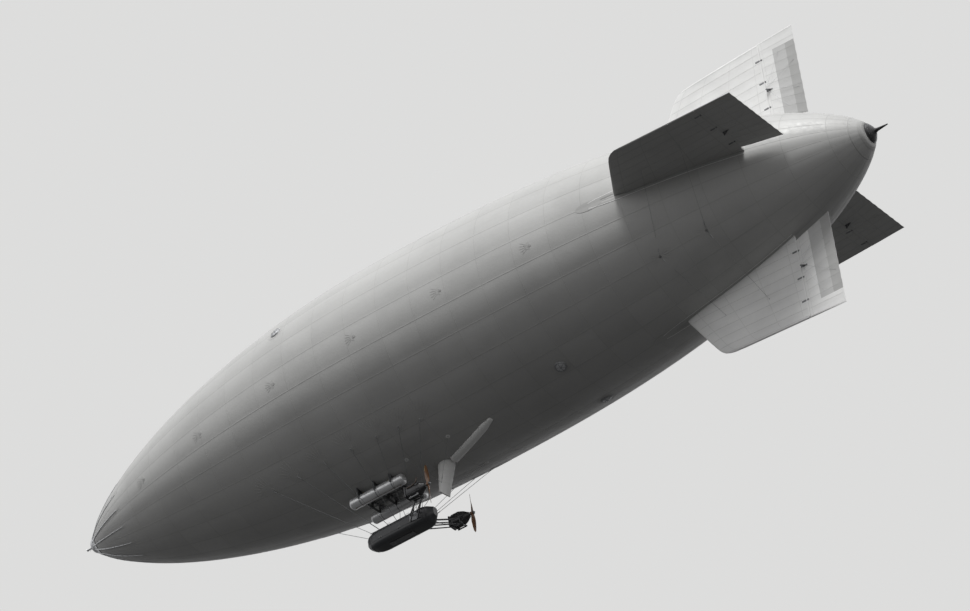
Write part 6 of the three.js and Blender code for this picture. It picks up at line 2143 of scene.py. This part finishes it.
for q in (1, -1):
    for dw, ww, lf, m_ in ((0.018, 0.050, 0.0012, 1),):
        rr = []
        for t in np.linspace(0.004, 0.996, 80):
            w = (0.160 - 0.025 * t - 0.060 * max(0, t - 0.8) / 0.2) * 0.97
            u0, u1 = q * (w - 0.008), q * (w + 0.034)
            rr.append([sleeve_pt(t, u0, -0.004), sleeve_pt(t, u0, 0.0052), sleeve_pt(t, q * (w + 0.006), 0.0036), sleeve_pt(t, u1, 0.0020), sleeve_pt(t, u1, -0.004)])
        loft(b, rr, m_)
b.make("belly_air_sleeve", slot="duct_fabric", nodes=["belly_duct"], sharp=40)

# fabric collar on the hull round the duct, with its lacing
b = Bag(M["patch"], M["rib"], M["wire"])
loop = []
for a in A_:
    p = scoop_pt(meet(a, 0.001, 0.0), a, 0.001)
    loop.append((XN - p[0], (math.atan2(p[1], p[2])) % (2 * pi)))
loop = np.array(loop)
cs_, ca_ = loop.mean(0)
Rr = float(hull_r(cs_))
rings = []
for grow, lift in ((0.0, 0.0005), (0.0, 0.0045), (0.030, 0.0045), (0.032, 0.0032), (0.120, 0.0030), (0.124, -0.004), (0.0, -0.004)):
    rg = []
    for s, a in loop:
        d = np.array([s - cs_, (a - ca_) * Rr])
        ln = np.linalg.norm(d)
        d = d / ln * (ln + grow + 0.012 * (grow > 0.1) * math.cos(math.atan2(d[1], d[0]) * 14))
        ss_, aa_ = cs_ + d[0], ca_ + d[1] / Rr
        rg.append(hull_pt(ss_, aa_, float(skin_off(ss_, aa_)) + lift))
    rings.append(rg)
loft(b, rings, 0, caps=False, wrap=True)
for i in range(0, 80, 2):
    s, a = loop[i]
    d = np.array([s - cs_, (a - ca_) * Rr])
    d /= np.linalg.norm(d)
    p0 = hull_pt(s + d[0] * 0.022, a + d[1] * 0.022 / Rr, 0.003)
    p1 = scoop_pt(meet(A_[i], 0, 0.0) - 0.016 / LEN, A_[i], 0.001)
    tube(b, [p0, (p0 + p1) / 2 + np.array([0, 0, -0.002]), p1], 0.0018, 5, 2)
# bracing wires from the mouth to the hull
for q in (1, -1):
    a = 0.0 if q > 0 else pi
    p0 = scoop_pt(0.30, a, 0.0)
    dome(b, p0, (0, q, 0), 0.013, 0.008, 14, 3, 2)
    for s_h, a_h in ((12.35, 180 - 15 * q), (13.95, 180 - 16 * q)):
        ah = math.radians(a_h)
        p1 = hull_pt(s_h, ah, 0.004)
        d = (p1 - p0) / np.linalg.norm(p1 - p0)
        rod(b, p0, p1, 0.0038, sides=8, mat=2)
        tube(b, [p0 + d * 0.10, p0 + d * 0.115, p0 + d * 0.185, p0 + d * 0.20], [0.004, 0.0085, 0.0085, 0.004], 12, 2)
        hull_patch(b, s_h, ah, 0.0, 0.07, lambda u: 0.07 * math.sqrt(max(1 - (2 * u - 1) ** 2, 0)), 0.001, 0.003, 1, 11, 6, start=-0.07)
        dome(b, hull_pt(s_h, ah, 0.002), hull_n(s_h, ah), 0.016, 0.010, 14, 3, 2)
b.make("scoop_collar_and_wires", slot="envelope_fabric")

# ------------------------------------------------------------------ stays of the car
STAYS = [(10.370, 7.800, 34), (10.660, 8.900, 36), (10.990, 10.000, 37), (11.315, 11.100, 37), (11.645, 12.100, 37), (11.970, 12.950, 36), (12.280, 13.700, 34)]
patches = Bag(M["patch"], M["rib"], M["bright"])
for side, k in (("port", 1), ("starboard", -1)):
    b = Bag(M["wire"], M["bright"], M["steel"])
    y, z = CAR_SIDE + 0.016, CAR_DECK_AT - 0.051
    rod(b, (X(10.3305), k * y, z), (X(12.2995), k * y, z), 0.009, sides=16, mat=2)
    for s in (10.3305, 12.2995):
        dome(b, (X(s), k * y, z), (1 if s < 11 else -1, 0, 0), 0.0095, 0.005, 16, 3, 2)
    for s in np.arange(10.42, 12.25, 0.20):
        lathe(b, [(-0.012, 0.0115), (0.012, 0.0115)], (X(s), k * y, z), (1, 0, 0), 20, 2)
        slab(b, (X(s) - 0.010, k * (CAR_SIDE + 0.0015), z - 0.004), (X(s) + 0.010, k * (y - 0.006), z + 0.004), 0.001, 2)
        slab(b, (X(s) - 0.014, k * (CAR_SIDE + 0.0006), z - 0.020), (X(s) + 0.014, k * (CAR_SIDE + 0.0040), z + 0.020), 0.001, 2)
    for s0, s1, deg in STAYS:
        a_ = np.array([X(s0), k * y, z])
        r = float(hull_r(s1)) - 0.040
        e_ = np.array([X(s1), k * r * math.sin(math.radians(deg)), -r * math.cos(math.radians(deg))])
        d = (e_ - a_) / np.linalg.norm(e_ - a_)
        # stop at the fabric
        t_end = float(np.linalg.norm(e_ - a_))
        for _ in range(40):
            p = a_ + d * t_end
            if math.hypot(p[1], p[2]) < float(hull_r(XN - p[0])) + 0.004:
                t_end -= 0.01
            else:
                break
        top = a_ + d * t_end
        rod(b, a_ + d * 0.03, a_ + d * (t_end - 0.05), 0.0068, sides=12, mat=0)
        lathe(b, [(-0.016, 0.0105), (-0.016, 0.0155), (0.016, 0.0155), (0.016, 0.0105)], a_, (1, 0, 0), 24, 1, wrap=True)
        tube(b, [a_ + d * 0.012, a_ + d * 0.05], [0.0095, 0.0085], 14, 1)
        # turnbuckle: open body with two threaded ends
        for q in (-1, 1):
            off = np.cross(d, (1.0, 0, 0))
            off /= np.linalg.norm(off)
            tube(b, [a_ + d * 0.105 + off * q * 0.003, a_ + d * 0.125 + off * q * 0.0095, a_ + d * 0.215 + off * q * 0.0095, a_ + d * 0.235 + off * q * 0.003], [0.003, 0.0042, 0.0042, 0.003], 10, 1)
        for t in (0.115, 0.225):
            lathe(b, [(-0.010, 0.0085), (0.010, 0.0085)], a_ + d * t, d, 6, 1, False)
        # eye and shackle at the top
        tube(b, [a_ + d * (t_end - 0.13), a_ + d * (t_end - 0.05)], [0.0088, 0.0088], 12, 1)
        rod(b, a_ + d * (t_end - 0.05), top, 0.0060, sides=10, mat=1)
        # the stay's line runs on as a crow's foot of bands glued over the fabric
        s_t, a_t = XN - top[0], math.atan2(top[1], top[2]) % (2 * pi)
        run = d - np.array(hull_n(s_t, a_t)) * np.dot(d, np.array(hull_n(s_t, a_t)))
        tang = np.array([0, math.cos(a_t), -math.sin(a_t)])
        th = math.atan2(float(np.dot(run, tang)), float(-run[0]))
        finger_patch(patches, s_t, a_t, th, 0.62, 7, ring=False, spread=0.21)
        dome(patches, hull_pt(s_t, a_t, 0.003), hull_n(s_t, a_t), 0.024, 0.010, 20, 3, 2)
    b.make(side + "_stay_wires", slot="steel_fittings", nodes=[side + "_stays"], sharp=35)
patches.make("stay_patches", slot="envelope_fabric")

# ------------------------------------------------------------------ valves
for name, s, deg, r, h in (("gas_valve", 9.700, 62, 0.190, 0.060), ("port_air_valve", 18.300, 160, 0.200, 0.070), ("starboard_air_valve", 18.300, 200, 0.200, 0.070)):
    a = math.radians(deg)
    n = np.array(hull_n(s, a))
    base = np.array([X(s), float(hull_r(s)) * math.sin(a), float(hull_r(s)) * math.cos(a)])
    b = Bag(M["alloy_dull"], M["alloy"], M["bright"], M["steel"], M["patch"])
    x_, y_, z_ = basis(n)
    sink = -(r ** 2) / (2 * float(hull_r(s))) - 0.004
    lathe(b, [(sink, r * 0.999), (0.004, r), (0.010, r * 0.995), (0.013, r * 0.975), (0.013, r * 0.90), (0.024, r * 0.875), (h * 0.45, r * 0.84), (h * 0.45, r * 0.76), (0.006, r * 0.75), (0.004, 0.001)], base, n, 96, 0)
    lathe(b, [(h * 0.20, r * 0.715), (h * 0.30, r * 0.725), (h * 0.42, r * 0.705), (h * 0.62, r * 0.56), (h * 0.74, r * 0.34), (h * 0.78, r * 0.10), (h * 0.78, 0.001)], base, n, 96, 1)
    for i in range(24):
        q = i / 24 * 2 * pi
        p = base + (x_ * math.cos(q) + y_ * math.sin(q)) * r * 0.938 + n * 0.0125
        bolt(b, p, n, 0.0055, 0.007, 2)
    # spring arms over the lid
    for i in range(6):
        q = i / 6 * 2 * pi
        d = x_ * math.cos(q) + y_ * math.sin(q)
        P = [base + d * r * e + n * h * f_ for e, f_ in ((0.86, 0.40), (0.80, 0.62), (0.68, 0.80), (0.45, 0.93), (0.22, 0.985), (0.06, 0.985))]
        tube(b, P, [0.0042, 0.0045, 0.0045, 0.0042, 0.004, 0.004], 10, 3)
        rod(b, base + d * r * 0.47 + n * h * 0.60, base + d * r * 0.47 + n * h * 0.93, 0.0035, sides=8, mat=2)
    lathe(b, [(h * 0.74, r * 0.10), (h * 0.80, r * 0.12), (h * 0.96, r * 0.12), (h * 1.0, r * 0.08), (h * 1.0, 0.001)], base, n, 36, 2)
    b.make(name + "_body", slot="bright_alloy", nodes=[name], sharp=35)
    b = Bag(M["patch"])
    hull_patch(b, s, a, 0.0, r + 0.105, lambda u: (r + 0.105) * math.sqrt(max(1 - (2 * u - 1) ** 2, 0)), 0.0004, 0.0022, 0, 34, 20, start=-(r + 0.105))
    b.make(name + "_doubler", slot="envelope_fabric")

# ------------------------------------------------------------------ CAD nodes that stay get a finish
for n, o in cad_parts.items():
    if not o.hide_render:
        o.data.materials.clear()
        o.data.materials.append(M["steel"])
